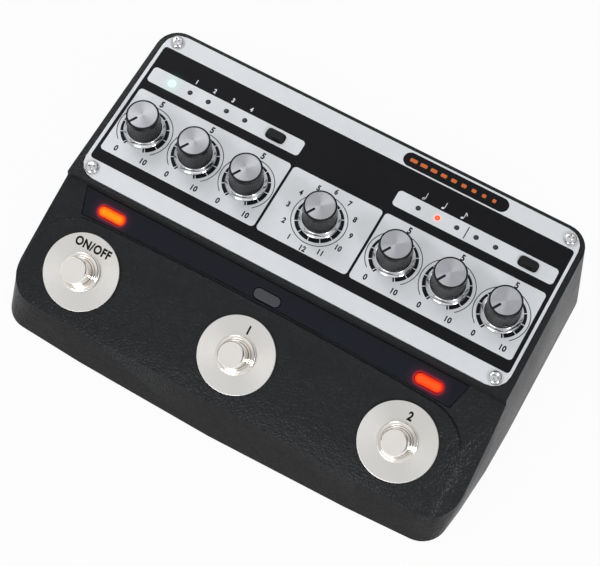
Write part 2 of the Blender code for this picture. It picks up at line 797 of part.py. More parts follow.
def build_panel_screws():
    """Four cross-slotted screws that hold the faceplate."""
    surface = finish("chrome_screws", (0.75, 0.75, 0.76), 0.15, 1.0)
    grip = FACE_THICKNESS + SEAT_GAP + LEDGE_THICKNESS
    profile = screw_profile(FACE_SCREW_HEAD_RADIUS, FACE_SCREW_HEAD_HEIGHT, grip)
    pattern = place_cutter(
        "screw_pattern", turned_form("screw_pattern", profile, SMALL_SIDES), Matrix()
    )
    low = FACE_SCREW_HEAD_HEIGHT - FACE_SCREW_SLOT_DEPTH
    length, width = FACE_SCREW_SLOT_LENGTH, FACE_SCREW_SLOT_WIDTH
    for number, size in enumerate(((length, width), (width, length))):
        slot = bmesh.new()
        box(slot, Matrix(), size, low, FACE_SCREW_HEAD_HEIGHT + OVERRUN)
        boolean(pattern, place_cutter(f"slot_{number}", form_mesh("slot", slot), Matrix()))
    mesh = evaluated_mesh(pattern)
    for corner, (x, y) in face_screw_places().items():
        smooth(place(f"panel_screw_{corner}", mesh, PANEL @ at(x, y, SEAT_GAP), surface))


def build_light_strip():
    """The smoked strip behind the footswitches and its three light windows."""
    smoke = finish("smoked_acrylic", (0.013, 0.015, 0.022), 0.12, 0.0)
    top = -PLATEAU_HEIGHT
    slots = [
        pill(WINDOW_LENGTH + 2 * SEAT_GAP, WINDOW_WIDTH + 2 * SEAT_GAP, x, -WINDOW_DOWN)
        for name, x in SWITCHES
    ]
    outlines = [strip_outline(0)] + slots
    flat_piece("light_strip", outlines, top - STRIP_THICKNESS, top, DECK, smoke)
    colours = {"left": (1.0, 0.28, 0.0), "centre": (0.05, 0.05, 0.06), "right": (1.0, 0.05, 0.01)}
    for name, x in SWITCHES:
        surface = finish(f"window_{name}", colours[name], 0.3, 0.0)
        outline = [pill(WINDOW_LENGTH, WINDOW_WIDTH, x, -WINDOW_DOWN)]
        flat_piece(f"light_window_{name}", outline, top - WINDOW_DEPTH, top, DECK, surface)


def build_buttons():
    """Two small push buttons, held by a flange under the faceplate."""
    surface = finish("button_black", (0.015, 0.015, 0.016), 0.4, 0.0)
    flange_width, flange_depth = BUTTON_WIDTH + 2 * BUTTON_FLANGE, BUTTON_DEPTH + 2 * BUTTON_FLANGE
    cap = rounded_rectangle(BUTTON_WIDTH, BUTTON_DEPTH, BUTTON_RADIUS, 2)
    brow = rounded_rectangle(
        BUTTON_WIDTH - BUTTON_FLANGE, BUTTON_DEPTH - BUTTON_FLANGE, BUTTON_RADIUS, 2
    )
    flange = rounded_rectangle(flange_width, flange_depth, BUTTON_RADIUS, 2)
    stem = rounded_rectangle(BUTTON_DEPTH, BUTTON_DEPTH, BUTTON_RADIUS, 2)
    flange_top = RECESS_FLOOR
    flange_low = flange_top - BUTTON_FLANGE_THICKNESS
    stem_low = -BUTTON_STEM
    levels = (
        (stem, stem_low),
        (stem, flange_low),
        (flange, flange_low),
        (flange, flange_top),
        (cap, flange_top),
        (cap, BUTTON_RISE - BUTTON_FLANGE / 2),
        (brow, BUTTON_RISE),
    )
    mesh = stacked("button", levels)
    for name, row_x in LIGHT_ROWS:
        spot = PANEL @ at(row_x + BUTTON_OFFSET, LIGHT_ROW)
        smooth(place(BUTTON_NAMES[name], mesh, spot, surface), 60)


def build_dials():
    """Seven dials, each a knob with a skirt, its silver cap and the shaft that it turns."""
    black = finish("knob_black", (0.018, 0.018, 0.019), 0.45, 0.0)
    silver = finish("cap_silver", (0.80, 0.80, 0.81), 0.25, 1.0)
    steel = finish("shaft_steel", (0.60, 0.60, 0.60), 0.3, 1.0)
    bore = SHAFT_RADIUS + SEAT_GAP
    skirt_top = SKIRT_LIFT + SKIRT_EDGE + SKIRT_HEIGHT
    pocket = KNOB_TOP - CAP_THICKNESS - SEAT_GAP
    pocket_radius = CAP_RADIUS + SEAT_GAP
    brow = KNOB_TOP - CAP_PROUD
    knob_profile = [
        (0, pocket),
        (pocket_radius, pocket),
        (pocket_radius, brow),
        (KNOB_TOP_RADIUS, brow),
        (KNOB_BASE_RADIUS, skirt_top),
        (SKIRT_RADIUS, SKIRT_LIFT + SKIRT_EDGE),
        (SKIRT_RADIUS, SKIRT_LIFT),
        (bore, SKIRT_LIFT),
        (bore, SHAFT_RISE + SEAT_GAP),
        (0, SHAFT_RISE + SEAT_GAP),
    ]
    cap_profile = [
        (0, KNOB_TOP),
        (CAP_RADIUS, KNOB_TOP),
        (CAP_RADIUS, KNOB_TOP - CAP_THICKNESS),
        (0, KNOB_TOP - CAP_THICKNESS),
    ]
    shaft_profile = [
        (0, SHAFT_RISE),
        (SHAFT_RADIUS, SHAFT_RISE),
        (SHAFT_RADIUS, -SHAFT_DEPTH),
        (0, -SHAFT_DEPTH),
    ]
    knob = turned_mesh("knob", knob_profile)
    cap = turned_mesh("knob_cap", cap_profile)
    shaft = turned_mesh("knob_shaft", shaft_profile)
    pieces = (
        ("knob", knob, black, ROUND_SIDES),
        ("knob_cap", cap, silver, ROUND_SIDES),
        ("knob_shaft", shaft, steel, SMALL_SIDES),
    )
    for name, x in DIALS:
        for kind, mesh, surface, sides in pieces:
            turn(place(f"{kind}_{name}", mesh, PANEL @ at(x, KNOB_ROW), surface), sides)


def build_selector():
    """The rotary selector under the middle dial, clamped to the faceplate."""
    grey = finish("selector_body", (0.12, 0.12, 0.13), 0.5, 0.0)
    body = bmesh.new()
    drill(body, Matrix(), SELECTOR_RADIUS, BOARD_TOP + SEAT_GAP, RECESS_FLOOR, SMALL_SIDES)
    selector = place("selector_switch", form_mesh("selector_switch", body), PANEL @ at(0, KNOB_ROW), grey)
    tubes, bores = control_tubes((0.0,))
    boolean(selector, tubes, "UNION")
    boolean(selector, bores)


def control_tubes(row):
    """Threaded bushings for a row of dials, and the bores that their shafts turn in."""
    tubes, bores = bmesh.new(), bmesh.new()
    low = RECESS_FLOOR - POT_HEIGHT / 2
    bore = SHAFT_RADIUS + RUN_GAP
    for x in row:
        spot = at(x, KNOB_ROW)
        drill(tubes, spot, bore + POT_BUSHING_WALL, low, POT_BUSHING_RISE, SMALL_SIDES)
        drill(bores, spot, bore, -SHAFT_DEPTH - RUN_GAP, OVERRUN, SMALL_SIDES)
    forms = (("control_tubes", tubes), ("control_bores", bores))
    return [place_cutter(name, form_mesh(name, form), PANEL) for name, form in forms]


def build_footswitches():
    """Three footswitches above the deck: plunger, dress nut and washer."""
    nickel = finish("switch_nickel", (0.70, 0.69, 0.67), 0.18, 1.0)
    washer_steel = finish("washer_steel", (0.68, 0.67, 0.65), 0.28, 1.0)
    nut_nickel = finish("nut_nickel", (0.72, 0.71, 0.69), 0.15, 1.0)
    inner = BUSHING_RADIUS + SEAT_GAP
    nut_low = WASHER_TOP + SEAT_GAP
    top = WASHER_TOP + PLUNGER_RISE
    plunger_profile = [
        (0, top),
        (PLUNGER_RADIUS - PLUNGER_CHAMFER, top),
        (PLUNGER_RADIUS, top - PLUNGER_CHAMFER),
        (PLUNGER_RADIUS, -PLUNGER_DEPTH),
        (0, -PLUNGER_DEPTH),
    ]
    washer_profile = [
        (inner, WASHER_TOP),
        (WASHER_RADIUS, WASHER_TOP),
        (WASHER_RADIUS, SEAT_GAP),
        (inner, SEAT_GAP),
    ]
    nut_profile = [
        (inner, NUT_TOP),
        (NUT_RADIUS - PLUNGER_CHAMFER, NUT_TOP),
        (NUT_RADIUS, NUT_TOP - PLUNGER_CHAMFER),
        (NUT_RADIUS, nut_low),
        (inner, nut_low),
    ]
    plunger = turned_mesh("footswitch_plunger", plunger_profile)
    washer = turned_mesh("footswitch_washer", washer_profile, closed=True)
    nut = turned_mesh("footswitch_nut", nut_profile, closed=True)
    for name, x in SWITCHES:
        spot = DECK @ at(x, -SWITCH_DOWN)
        turn(place(f"footswitch_plunger_{name}", plunger, spot, nickel), ROUND_SIDES)
        turn(place(f"footswitch_washer_{name}", washer, spot, washer_steel), ROUND_SIDES)
        turn(place(f"footswitch_nut_{name}", nut, spot, nut_nickel), ROUND_SIDES)


def build_switch_board():
    """The board under the deck with its three soldered switch bodies and their bushings."""
    green = finish("switch_board", (0.02, 0.13, 0.06), 0.4, 0.0)
    base = SWITCH_BODY_BOTTOM - SWITCH_BOARD_THICKNESS
    bodies, tubes, bores = bmesh.new(), bmesh.new(), bmesh.new()
    width = 2 * SWITCH_PITCH + SWITCH_BODY_WIDTH + 2 * SWITCH_BOARD_MARGIN
    board = bmesh.new()
    box(board, at(0, -SWITCH_DOWN), (width, SWITCH_BOARD_DEPTH), base, SWITCH_BODY_BOTTOM)
    switch_board = place("switch_board", form_mesh("switch_board", board), DECK, green)
    body_top = DECK_UNDERSIDE - SEAT_GAP
    size = (SWITCH_BODY_WIDTH, SWITCH_BODY_WIDTH)
    bore_low = -PLUNGER_DEPTH - PLUNGER_TRAVEL - RUN_GAP
    tube_top = NUT_TOP - BUSHING_SINK
    for name, x in SWITCHES:
        spot = at(x, -SWITCH_DOWN)
        box(bodies, spot, size, base + SWITCH_BOARD_THICKNESS / 2, body_top)
        drill(tubes, spot, BUSHING_RADIUS, SWITCH_BODY_BOTTOM, tube_top, ROUND_SIDES)
        drill(bores, spot, PLUNGER_RADIUS + RUN_GAP, bore_low, tube_top + OVERRUN, ROUND_SIDES)
    steps = (
        ("switch_bodies", bodies, "UNION"),
        ("switch_tubes", tubes, "UNION"),
        ("switch_bores", bores, "DIFFERENCE"),
    )
    for name, form, operation in steps:
        boolean(switch_board, place_cutter(name, form_mesh(name, form), DECK), operation)


def build_main_board():
    """The main board with its soldered pieces: six dial controls, ten lights, two switches."""
    green = finish("main_board", (0.02, 0.14, 0.07), 0.4, 0.0)
    width = FACE_WIDTH - 2 * LEDGE_WIDTH - MAIN_BOARD_MARGIN
    size = (width, FACE_DEPTH - 2 * LEDGE_WIDTH - BOARD_SIDE_MARGIN)
    form = bmesh.new()
    box(form, Matrix(), size, BOARD_TOP - BOARD_THICKNESS, BOARD_TOP)
    board = place("main_board", form_mesh("main_board", form), PANEL, green)
    root = BOARD_TOP - BOARD_THICKNESS / 2
    soldered = bmesh.new()
    row = [x for name, x in DIALS if name != SELECTOR]
    for x in row:
        box(soldered, at(x, KNOB_ROW), (POT_WIDTH, POT_WIDTH), root, RECESS_FLOOR)
    tact_top = -BUTTON_STEM - BUTTON_TRAVEL - RUN_GAP
    for name, row_x in LIGHT_ROWS:
        for x in light_places(row_x):
            drill(soldered, at(x, LIGHT_ROW), LIGHT_RADIUS, root, LIGHT_RISE, DOT_SIDES)
        spot = at(row_x + BUTTON_OFFSET, LIGHT_ROW)
        box(soldered, spot, (TACT_WIDTH, TACT_WIDTH), root, tact_top)
    boolean(board, place_cutter("soldered", form_mesh("soldered", soldered), PANEL), "UNION")
    tubes, bores = control_tubes(row)
    boolean(board, tubes, "UNION")
    boolean(board, bores)


def build_jack_board():
    """The jack board with its soldered jacks: five large, two small and the power inlet."""
    black = finish("jack_black", (0.02, 0.02, 0.02), 0.35, 0.0)
    face = -WALL - REAR_FLARE - SEAT_GAP
    half_height = JACK_BODY_HEIGHT / 2
    left = mini_places()[0] - JACK_BOARD_MARGIN
    right = inlet_place() + JACK_BOARD_MARGIN
    board = bmesh.new()
    middle = at((left + right) / 2, half_height + BOARD_THICKNESS / 2)
    box(board, middle, (right - left, BOARD_THICKNESS), face - JACK_BODY_DEPTH, face)
    jack_board = place("jack_board", form_mesh("jack_board", board), REARWARD, black)

    large = (JACK_BODY_WIDTH, JACK_BODY_DEPTH, JACK_BUSHING_RADIUS, JACK_BORE_RADIUS)
    small = (MINI_BODY_WIDTH, MINI_BODY_DEPTH, MINI_RADIUS, MINI_BORE_RADIUS)
    inlet = (INLET_BODY_WIDTH, INLET_BODY_DEPTH, INLET_RADIUS, INLET_BORE_RADIUS)
    sockets = [(x, *large, JACK_REACH, JACK_BORE_DEPTH) for x in jack_places()]
    sockets += [(x, *small, MINI_REACH, MINI_BORE_DEPTH) for x in mini_places()]
    sockets.append((inlet_place(), *inlet, INLET_REACH, INLET_BORE_DEPTH))
    bodies, necks, bores, pin = bmesh.new(), bmesh.new(), bmesh.new(), bmesh.new()
    height = JACK_BODY_HEIGHT + BOARD_THICKNESS / 2
    for x, width, depth, radius, bore, reach, bore_depth in sockets:
        box(bodies, at(x, BOARD_THICKNESS / 4), (width, height), face - depth, face)
        drill(necks, at(x, 0), radius, face - depth / 2, reach, SMALL_SIDES)
        drill(bores, at(x, 0), bore, reach - bore_depth, reach + OVERRUN, SMALL_SIDES)
    floor = INLET_REACH - INLET_BORE_DEPTH
    top = INLET_REACH - INLET_PIN_SINK
    drill(pin, at(inlet_place(), 0), INLET_PIN_RADIUS, floor - INLET_PIN_SINK, top, DOT_SIDES)
    steps = (
        ("jack_bodies", bodies, "UNION"),
        ("jack_necks", necks, "UNION"),
        ("jack_bores", bores, "DIFFERENCE"),
        ("inlet_pin", pin, "UNION"),
    )
    for name, form, operation in steps:
        boolean(jack_board, place_cutter(name, form_mesh(name, form), REARWARD), operation)


def build_jack_nuts():
    """The hexagonal nuts that hold the large jacks to the rear wall."""
    nickel = finish("jack_nut_nickel", (0.70, 0.69, 0.67), 0.2, 1.0)
    hexagon = circle(JACK_NUT_RADIUS, 6)
    hole = circle(JACK_BUSHING_RADIUS + SEAT_GAP, SMALL_SIDES)
    curve, lift = flat("jack_nut", [hexagon, hole], SEAT_GAP, SEAT_GAP + JACK_NUT_THICKNESS)
    for number, x in enumerate(jack_places(), 1):
        place(f"jack_nut_{number}", curve, REARWARD @ at(x, 0) @ lift, nickel)


def build_base():
    """The steel base plate with its four screws, and the four rubber feet."""
    steel = finish("base_steel", (0.03, 0.03, 0.032), 0.5, 0.5)
    lower, upper = body_rings(BODY_LIFT - OVERRUN, WALL + SEAT_GAP)[:2]
    foot_height, edge_height = lower[0][-1], upper[0][-1]
    share = (PLATE_TOP - foot_height) / (edge_height - foot_height)
    pairs = zip(lower, upper)
    outlines = [[(a[0] + (b[0] - a[0]) * share, a[1] + (b[1] - a[1]) * share) for a, b in pairs]]
    outlines += [circle(SCREW_RADIUS + SEAT_GAP, DOT_SIDES, x, y) for x, y in pillar_places().values()]
    flat_piece("base_plate", outlines, PLATE_LIFT, PLATE_TOP, Matrix(), steel)

    zinc = finish("base_screw_zinc", (0.55, 0.55, 0.56), 0.3, 1.0)
    grip = PLATE_THICKNESS + SCREW_GRIP
    profile = screw_profile(SCREW_HEAD_RADIUS, SCREW_HEAD_HEIGHT, grip)
    screw = turned_mesh("base_screw", profile)
    over = Matrix.Rotation(math.pi, 4, "X")
    for corner, (x, y) in pillar_places().items():
        spot = at(x, y, PLATE_LIFT - SEAT_GAP) @ over
        turn(place(f"base_screw_{corner}", screw, spot, zinc), SMALL_SIDES)

    rubber = finish("foot_rubber", (0.02, 0.02, 0.02), 0.85, 0.0)
    top = PLATE_LIFT - SEAT_GAP
    profile = [
        (0, top),
        (FOOT_RADIUS, top),
        (FOOT_RADIUS, FOOT_CHAMFER),
        (FOOT_RADIUS - FOOT_CHAMFER, 0),
        (0, 0),
    ]
    foot = turned_mesh("foot", profile)
    spots = corners(BASE_HALF - FOOT_INSET, FRONT + FOOT_INSET, REAR - FOOT_INSET)
    for corner, (x, y) in spots.items():
        turn(place(f"foot_{corner}", foot, at(x, y), rubber), ROUND_SIDES)


def main():
    for old in list(bpy.data.objects):
        bpy.data.objects.remove(old, do_unlink=True)
    bpy.context.scene.collection.children.link(PARTS)
    bpy.context.scene.collection.children.link(CUTTERS)
    build_housing()
    build_faceplate()
    build_panel_screws()
    build_light_strip()
    build_buttons()
    build_dials()
    build_selector()
    build_footswitches()
    build_switch_board()
    build_main_board()
    build_jack_board()
    build_jack_nuts()
    build_base()


main()
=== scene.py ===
"""Looks of the analog delay machine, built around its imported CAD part.

Metres, +Z up, as in the part. Flat prints and turned pieces are made in the frame of the panel
or of the deck, with its Z axis standing on the surface.
"""

import json
import math

import bmesh
import bpy
from mathutils import Matrix, Vector

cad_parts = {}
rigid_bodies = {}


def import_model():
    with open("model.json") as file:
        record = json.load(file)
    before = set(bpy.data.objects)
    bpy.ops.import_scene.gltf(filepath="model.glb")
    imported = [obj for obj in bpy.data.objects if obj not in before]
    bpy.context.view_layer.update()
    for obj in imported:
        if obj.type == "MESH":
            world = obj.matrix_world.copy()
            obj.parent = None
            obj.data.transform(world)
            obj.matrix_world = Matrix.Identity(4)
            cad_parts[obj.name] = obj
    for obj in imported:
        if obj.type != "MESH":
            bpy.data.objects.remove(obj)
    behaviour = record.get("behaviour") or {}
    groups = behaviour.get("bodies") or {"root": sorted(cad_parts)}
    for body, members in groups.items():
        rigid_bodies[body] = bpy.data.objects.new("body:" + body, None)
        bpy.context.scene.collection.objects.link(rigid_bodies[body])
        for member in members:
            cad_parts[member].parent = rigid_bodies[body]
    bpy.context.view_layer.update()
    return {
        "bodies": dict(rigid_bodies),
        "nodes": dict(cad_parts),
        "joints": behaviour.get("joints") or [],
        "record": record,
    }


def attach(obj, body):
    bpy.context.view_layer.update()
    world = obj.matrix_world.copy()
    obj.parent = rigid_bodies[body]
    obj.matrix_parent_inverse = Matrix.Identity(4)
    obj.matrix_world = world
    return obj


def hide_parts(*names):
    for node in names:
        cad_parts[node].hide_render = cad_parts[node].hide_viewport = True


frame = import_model()

# Sizes of the casting, as in the part, in finer steps
SEAT_GAP = 0.0003
SEAM = SEAT_GAP / 100
WELD = 0.0000005
RUN_GAP = 0.0003
OVERRUN = 0.004
FACE_WIDTH = 0.1772
FACE_DEPTH = 0.0694
FACE_THICKNESS = 0.0012
FACE_RADIUS = 0.0070
FACE_PROUD = 0.0002
FACE_SCREW_SIDE_INSET = 0.0046
FACE_SCREW_END_INSET = 0.0037
PANEL_HEIGHT = 0.0392
PANEL_TILT = math.radians(2.7)
RIM_SIDE = 0.0024
RIM_FRONT = 0.0019
RIM_REAR = 0.0014
RIM_RADIUS = 0.0090
LEDGE_WIDTH = 0.0080
LEDGE_THICKNESS = 0.0028
RIM_ROUNDING = 0.0010
STEP_HEIGHT = 0.0032
DECK_SLOPE = math.radians(21.9)
DECK_LENGTH = 0.0496
DECK_SHIFT = -0.0028
DECK_WALL = 0.0025
SHOULDER_ROUNDING = 0.0034
FRONT_ROUNDING = 0.0012
ROUNDING_STEPS = 5
TOP_SLOPE = math.radians(45)
WALL_SLOPE = math.radians(60)
PLATEAU_OVERHANG = 0.0019
PLATEAU_HEIGHT = 0.0008
PLATEAU_RAMP = 0.0018
PLATEAU_REAR_RAMP_SHARE = 0.4
PLATEAU_REAR = 0.0093
PLATEAU_BOW = 0.0026
PLATEAU_RADIUS = 0.0200
WALL = 0.0025
SIDE_FLARE = 0.0050
FRONT_FLARE = 0.0080
REAR_FLARE = 0.0005
BASE_TAPER = 0.0045
DECK_TAPER = 0.0010
BASE_BOW = 0.0031
BASE_FRONT_RADIUS = 0.0105
DECK_FRONT_RADIUS = 0.0130
BODY_LIFT = 0.0015
PILLAR_RADIUS = 0.0036
PILLAR_INSET = 0.0120
PILLAR_REAR_INSET = 0.0105
PILLAR_FRONT_INSET = 0.0165
STRIP_EDGE = 0.0086
STRIP_THICKNESS = 0.0012
STRIP_MARGIN = 0.0006
STRIP_END_SLANT = 0.0030
WINDOW_LENGTH = 0.0108
WINDOW_WIDTH = 0.0040
WINDOW_DOWN = 0.0062
SWITCH_EDGE = 0.0221
SWITCH_DOWN = 0.0299
BUSHING_WALL = 0.00055
PLUNGER_RADIUS = 0.00485
JACK_COUNT = 5
SOCKET_EDGE = 0.0220
JACK_HEIGHT = 0.0190
JACK_PITCH = 0.0235
JACK_REACH = 0.0064
JACK_BUSHING_RADIUS = 0.00475
MINI_COUNT = 2
MINI_PITCH = 0.0120
MINI_CLEARANCE = 0.0180
MINI_RADIUS = 0.0030
INLET_CLEARANCE = 0.0240
INLET_RADIUS = 0.0050
PLATE_LIFT = 0.0022
PLATE_THICKNESS = 0.0012
SCREW_RADIUS = 0.00145
SCREW_GRIP = 0.0060
ROUND_SIDES = 64
SMALL_SIDES = 48
DOT_SIDES = 24
CORNER_STEPS = 12
DECK_PLATE_STEPS = 24
SIDE_CURVE_SHARES = (1 / 3, 2 / 3)
FRONT_CURVE_SHARES = (0.62,)
PLATEAU_CURVE_SHARES = (0.3, 0.6)
PLATEAU_EDGE_SHARES = ((0.3, 0.72), (0.55, 0.40), (0.78, 0.14), (1.0, 0.0))
TAPER_START_SHARE = 0.45
RIM_HALF = FACE_WIDTH / 2 + RIM_SIDE
BASE_HALF = RIM_HALF + SIDE_FLARE
RIM_FRONT_Y = -FACE_DEPTH / 2 - RIM_FRONT
RIM_REAR_Y = FACE_DEPTH / 2 + RIM_REAR
DECK_TILT = PANEL_TILT + DECK_SLOPE
RIM_TOP = -FACE_PROUD
RECESS_FLOOR = -FACE_THICKNESS - SEAT_GAP
LEDGE_UNDERSIDE = RECESS_FLOOR - LEDGE_THICKNESS
DECK_UNDERSIDE = -PLATEAU_HEIGHT - DECK_WALL
BUSHING_RADIUS = PLUNGER_RADIUS + RUN_GAP + BUSHING_WALL
SWITCH_PITCH = FACE_WIDTH / 2 - SWITCH_EDGE
STRIP_HALF = FACE_WIDTH / 2 - STRIP_EDGE
PLATEAU_HALF = FACE_WIDTH / 2 + PLATEAU_OVERHANG
STEP_Y = RIM_FRONT_Y * math.cos(PANEL_TILT) + STEP_HEIGHT * math.sin(PANEL_TILT)
STEP_Z = PANEL_HEIGHT + RIM_FRONT_Y * math.sin(PANEL_TILT) - STEP_HEIGHT * math.cos(PANEL_TILT)
DECK_FRONT_Y = STEP_Y - DECK_LENGTH * math.cos(DECK_TILT)
DECK_FRONT_Z = STEP_Z - DECK_LENGTH * math.sin(DECK_TILT)
BASE_FRONT_Y = DECK_FRONT_Y - FRONT_FLARE
BASE_REAR_Y = RIM_REAR_Y * math.cos(PANEL_TILT) + REAR_FLARE
CENTRE_SHIFT = -(BASE_FRONT_Y + BASE_REAR_Y + JACK_REACH) / 2
FRONT = BASE_FRONT_Y + CENTRE_SHIFT
REAR = BASE_REAR_Y + CENTRE_SHIFT
TAPER_START = FRONT + (REAR - FRONT) * TAPER_START_SHARE
PLATE_TOP = PLATE_LIFT + PLATE_THICKNESS
RIM_HEIGHT = PANEL_HEIGHT + RIM_REAR_Y * math.sin(PANEL_TILT)
FLARE_PER_HEIGHT = SIDE_FLARE / (PANEL_HEIGHT - BODY_LIFT)
PANEL = Matrix.Translation((0, CENTRE_SHIFT, PANEL_HEIGHT)) @ Matrix.Rotation(PANEL_TILT, 4, "X")
DECK = (
    PANEL
    @ Matrix.Translation((DECK_SHIFT, RIM_FRONT_Y, -STEP_HEIGHT))
    @ Matrix.Rotation(DECK_SLOPE, 4, "X")
)
REARWARD = Matrix.Translation((0, REAR, JACK_HEIGHT)) @ Matrix.Rotation(-math.pi / 2, 4, "X")
ACROSS = Matrix(((0, 0, 1, 0), (1, 0, 0, 0), (0, 1, 0, 0), (0, 0, 0, 1)))
SWITCHES = (("left", -SWITCH_PITCH), ("centre", 0.0), ("right", SWITCH_PITCH))
CUTTERS = bpy.data.collections.new("cutters")
bpy.context.scene.collection.children.link(CUTTERS)
KNOB_ROW = -0.0080
SWITCH_ROW = -SWITCH_DOWN

# Paint of the casting: how large its features are, and how steep a face counts as a wall or as the deck
PAINT_GRAIN = 0.0008
PAINT_FINE = 0.0009
PAINT_PIT = 0.0030
PAINT_LUMP = 0.0040
PAINT_PATCH = 0.02
PAINT_DEPTH = 0.00022
LEVEL_RANGE = (0.55, 0.80)
# The wall tones are painted lighter and warmer than the deck's: painted light from the front on the steep
# faces
WALL_PAINTED_LIGHT_TONES = ((0.0160, 0.0152, 0.0156), (0.0250, 0.0242, 0.0250))
DECK_TONES = ((0.0045, 0.0062, 0.0072), (0.0105, 0.0130, 0.0145))
PANEL_SILVER = (0.72, 0.74, 0.77)

# Faceplate print
INK = 0.00003
FIELD_LEFT = -0.0873
FIELD_RIGHT = 0.0875
FIELD_HALF_DEPTH = 0.0274
FIELD_RADIUS = 0.0014
BOX_LEFT = 0.0199
BOX_RIGHT = 0.0860
BOX_MIDDLE = 0.0189
BOX_LOW = -0.0226
BOX_HIGH = 0.00706
BOX_RADIUS = 0.0015
ROW_LOW = 0.0109
ROW_HIGH = 0.0178
DIAL_X = (-0.0750, -0.0530, -0.0310, 0.0, 0.0310, 0.0530, 0.0750)
DIAL_NAMES = ("rate", "depth", "variation", "mode", "time", "intensity", "volume")
SELECTOR = "mode"
RING_RADIUS = 0.01040
RING_WIDTH = 0.00030
LETTER_SHARE = 0.85
THIN_SHARE = 0.02
BOLD_SHARE = 0.04
BAND_OUTER = 0.00925
BAND_INNER = 0.0072
GAP_HALF = 0.00019
LIGHT_ROW = 0.0144
LIGHT_RADIUS = 0.00078
LAMP_GLOW = 0.0062
LEFT_LIGHTS = (-0.0766, -0.0686, -0.0606, -0.0526, -0.0446)
RIGHT_LIGHTS = (0.0294, 0.0374, 0.0454, 0.0534, 0.0614)
SCALE_START = -60
SCALE_STEP = 30
SCALE_COUNT = 10
SCALE_TAIL = 4
RING_START = -49
RING_END = 229
SELECTOR_COUNT = 12
SELECTOR_START = 240
SELECTOR_NUMBER_RADIUS = 0.0131
SELECTOR_NUMBER_HEIGHT = 0.0022
LIGHT_NUMBER_ROW = 0.0196
LIGHT_NUMBER_HEIGHT = 0.0018
WINDOW_CORE = (WINDOW_LENGTH - WINDOW_WIDTH) / 2
WINDOW_REACH = WINDOW_WIDTH / 2
HALO = 0.0042
HALO_EDGE = 0.0014

# Plain numbers round a dial: text, place from the dial's middle, cap height
SCALE_NUMBERS = (
    ("0", -0.0056, -0.0117, 0.0023), ("10", 0.0061, -0.0117, 0.0023), ("5", 0.0, 0.01262, 0.0026),
)

# Dark badge at the rear right and the divider between the right-hand lights: left, right, low, high, radius
BADGE = (0.0148, 0.0585, 0.0280, 0.0339, 0.00294)
DIVIDER = (0.0492, 0.0496, 0.01175, 0.01706, 0.0001)

# Orange bars in the badge, each a little shorter than the one before
BAR_COUNT = 9
BAR_START = 0.0190
BAR_PITCH = 0.0042
BAR_LENGTH = 0.0030
BAR_SHRINK = 0.0002
BAR_LOW = 0.0302
BAR_HIGH = 0.0317
BAR_ROUNDING = 0.0004

# Note signs over the right-hand lights: stem, head, the head's hole and the flag
NOTE_LOW = 0.0190
NOTE_HIGH = 0.0217
STEM_LEFT = 0.00038
STEM_RIGHT = 0.00062
STEM_ROUNDING = 0.00005
NOTE_HEAD = (0.00062, 0.00046, 0.00018)
NOTE_HOLE = (0.0004, 0.00022, 0.00022)
NOTE_SHIFT = 0.00005
FLAG_LEFT = 0.00064
FLAG = ((0.0, 0.0217), (0.0007, 0.0208), (0.0006, 0.0201), (0.00042, 0.0206), (0.0, 0.0210))

# Marks on the washers
MARK_UP = 0.0100
MARK_HEIGHT = 0.0033

# Lettering: cap height as a share of the type size, and the space between letters
CAP_SHARE = 0.73
LETTER_SPACE = 1.1

# Turned pieces, as (radius, height) from the top down, in the frame of the panel or of the deck
KNOB_TOP = 0.01265
KNOB_SIDES = 180
KNOB_FLUTES = 60
KNOB_FLUTE_DEPTH = 0.00016
KNOB_FLUTES_LOW = 0.0034
KNOB_FLUTES_HIGH = KNOB_TOP - 0.0022
CAP_RADIUS = 0.0056
CAP_THICKNESS = 0.0007
CAP_SEAT = KNOB_TOP - CAP_THICKNESS - 0.0003
CAP_RIM = CAP_RADIUS + 0.00008
SHAFT_RADIUS = 0.0031
SHAFT_DEPTH = 0.0093
KNOB_PROFILE = (
    (0, CAP_SEAT), (CAP_RIM, CAP_SEAT), (CAP_RIM, KNOB_TOP - 0.0002), (0.00575, KNOB_TOP - 0.0001),
    (0.0060, KNOB_TOP - 0.0001), (0.00617, KNOB_TOP - 0.0002), (0.0062, KNOB_TOP - 0.0004),
    (0.00622, KNOB_TOP - 0.0014), (0.00630, KNOB_TOP - 0.0018), (0.00635, KNOB_FLUTES_HIGH),
    (0.00655, KNOB_FLUTES_LOW), (0.00655, 0.0029), (0.0066, 0.0028), (0.0066, 0.0022),
    (SHAFT_RADIUS, 0.0022), (SHAFT_RADIUS, SHAFT_DEPTH), (0, SHAFT_DEPTH),
)
SKIRT_SIDES = 128
SKIRT_PROFILE = (
    (0.0067, 0.0028), (0.00685, 0.00278), (0.0070, 0.00265), (0.00706, 0.0025), (0.00765, 0.0013),
    (0.00775, 0.00118), (0.00793, 0.00112), (0.0080, 0.0010), (0.0080, 0.0007), (0.0079, 0.0006),
    (0.0067, 0.0006),
)

# Cap with the pointer's slot, from the bottom up: radius, half of the slot, the slot's inner end, height
CAP_LEVELS = (
    (CAP_RADIUS, 0.00045, 0.0022, KNOB_TOP - CAP_THICKNESS),
    (CAP_RADIUS, 0.00045, 0.0022, KNOB_TOP - 0.0002),
    (CAP_RADIUS - 0.00006, 0.00047, 0.00218, KNOB_TOP - 0.00006),
    (CAP_RADIUS - 0.0002, 0.00050, 0.00215, KNOB_TOP),
)
CAP_SHARP = 15
POINTER_HALF = 0.00048
POINTER_OUTER = CAP_RADIUS + 0.00002
POINTER_INNER = 0.0022
POINTER_ROUNDING = 0.0004
POINTER_SINK = 0.0002
DIAL_TURN = -30

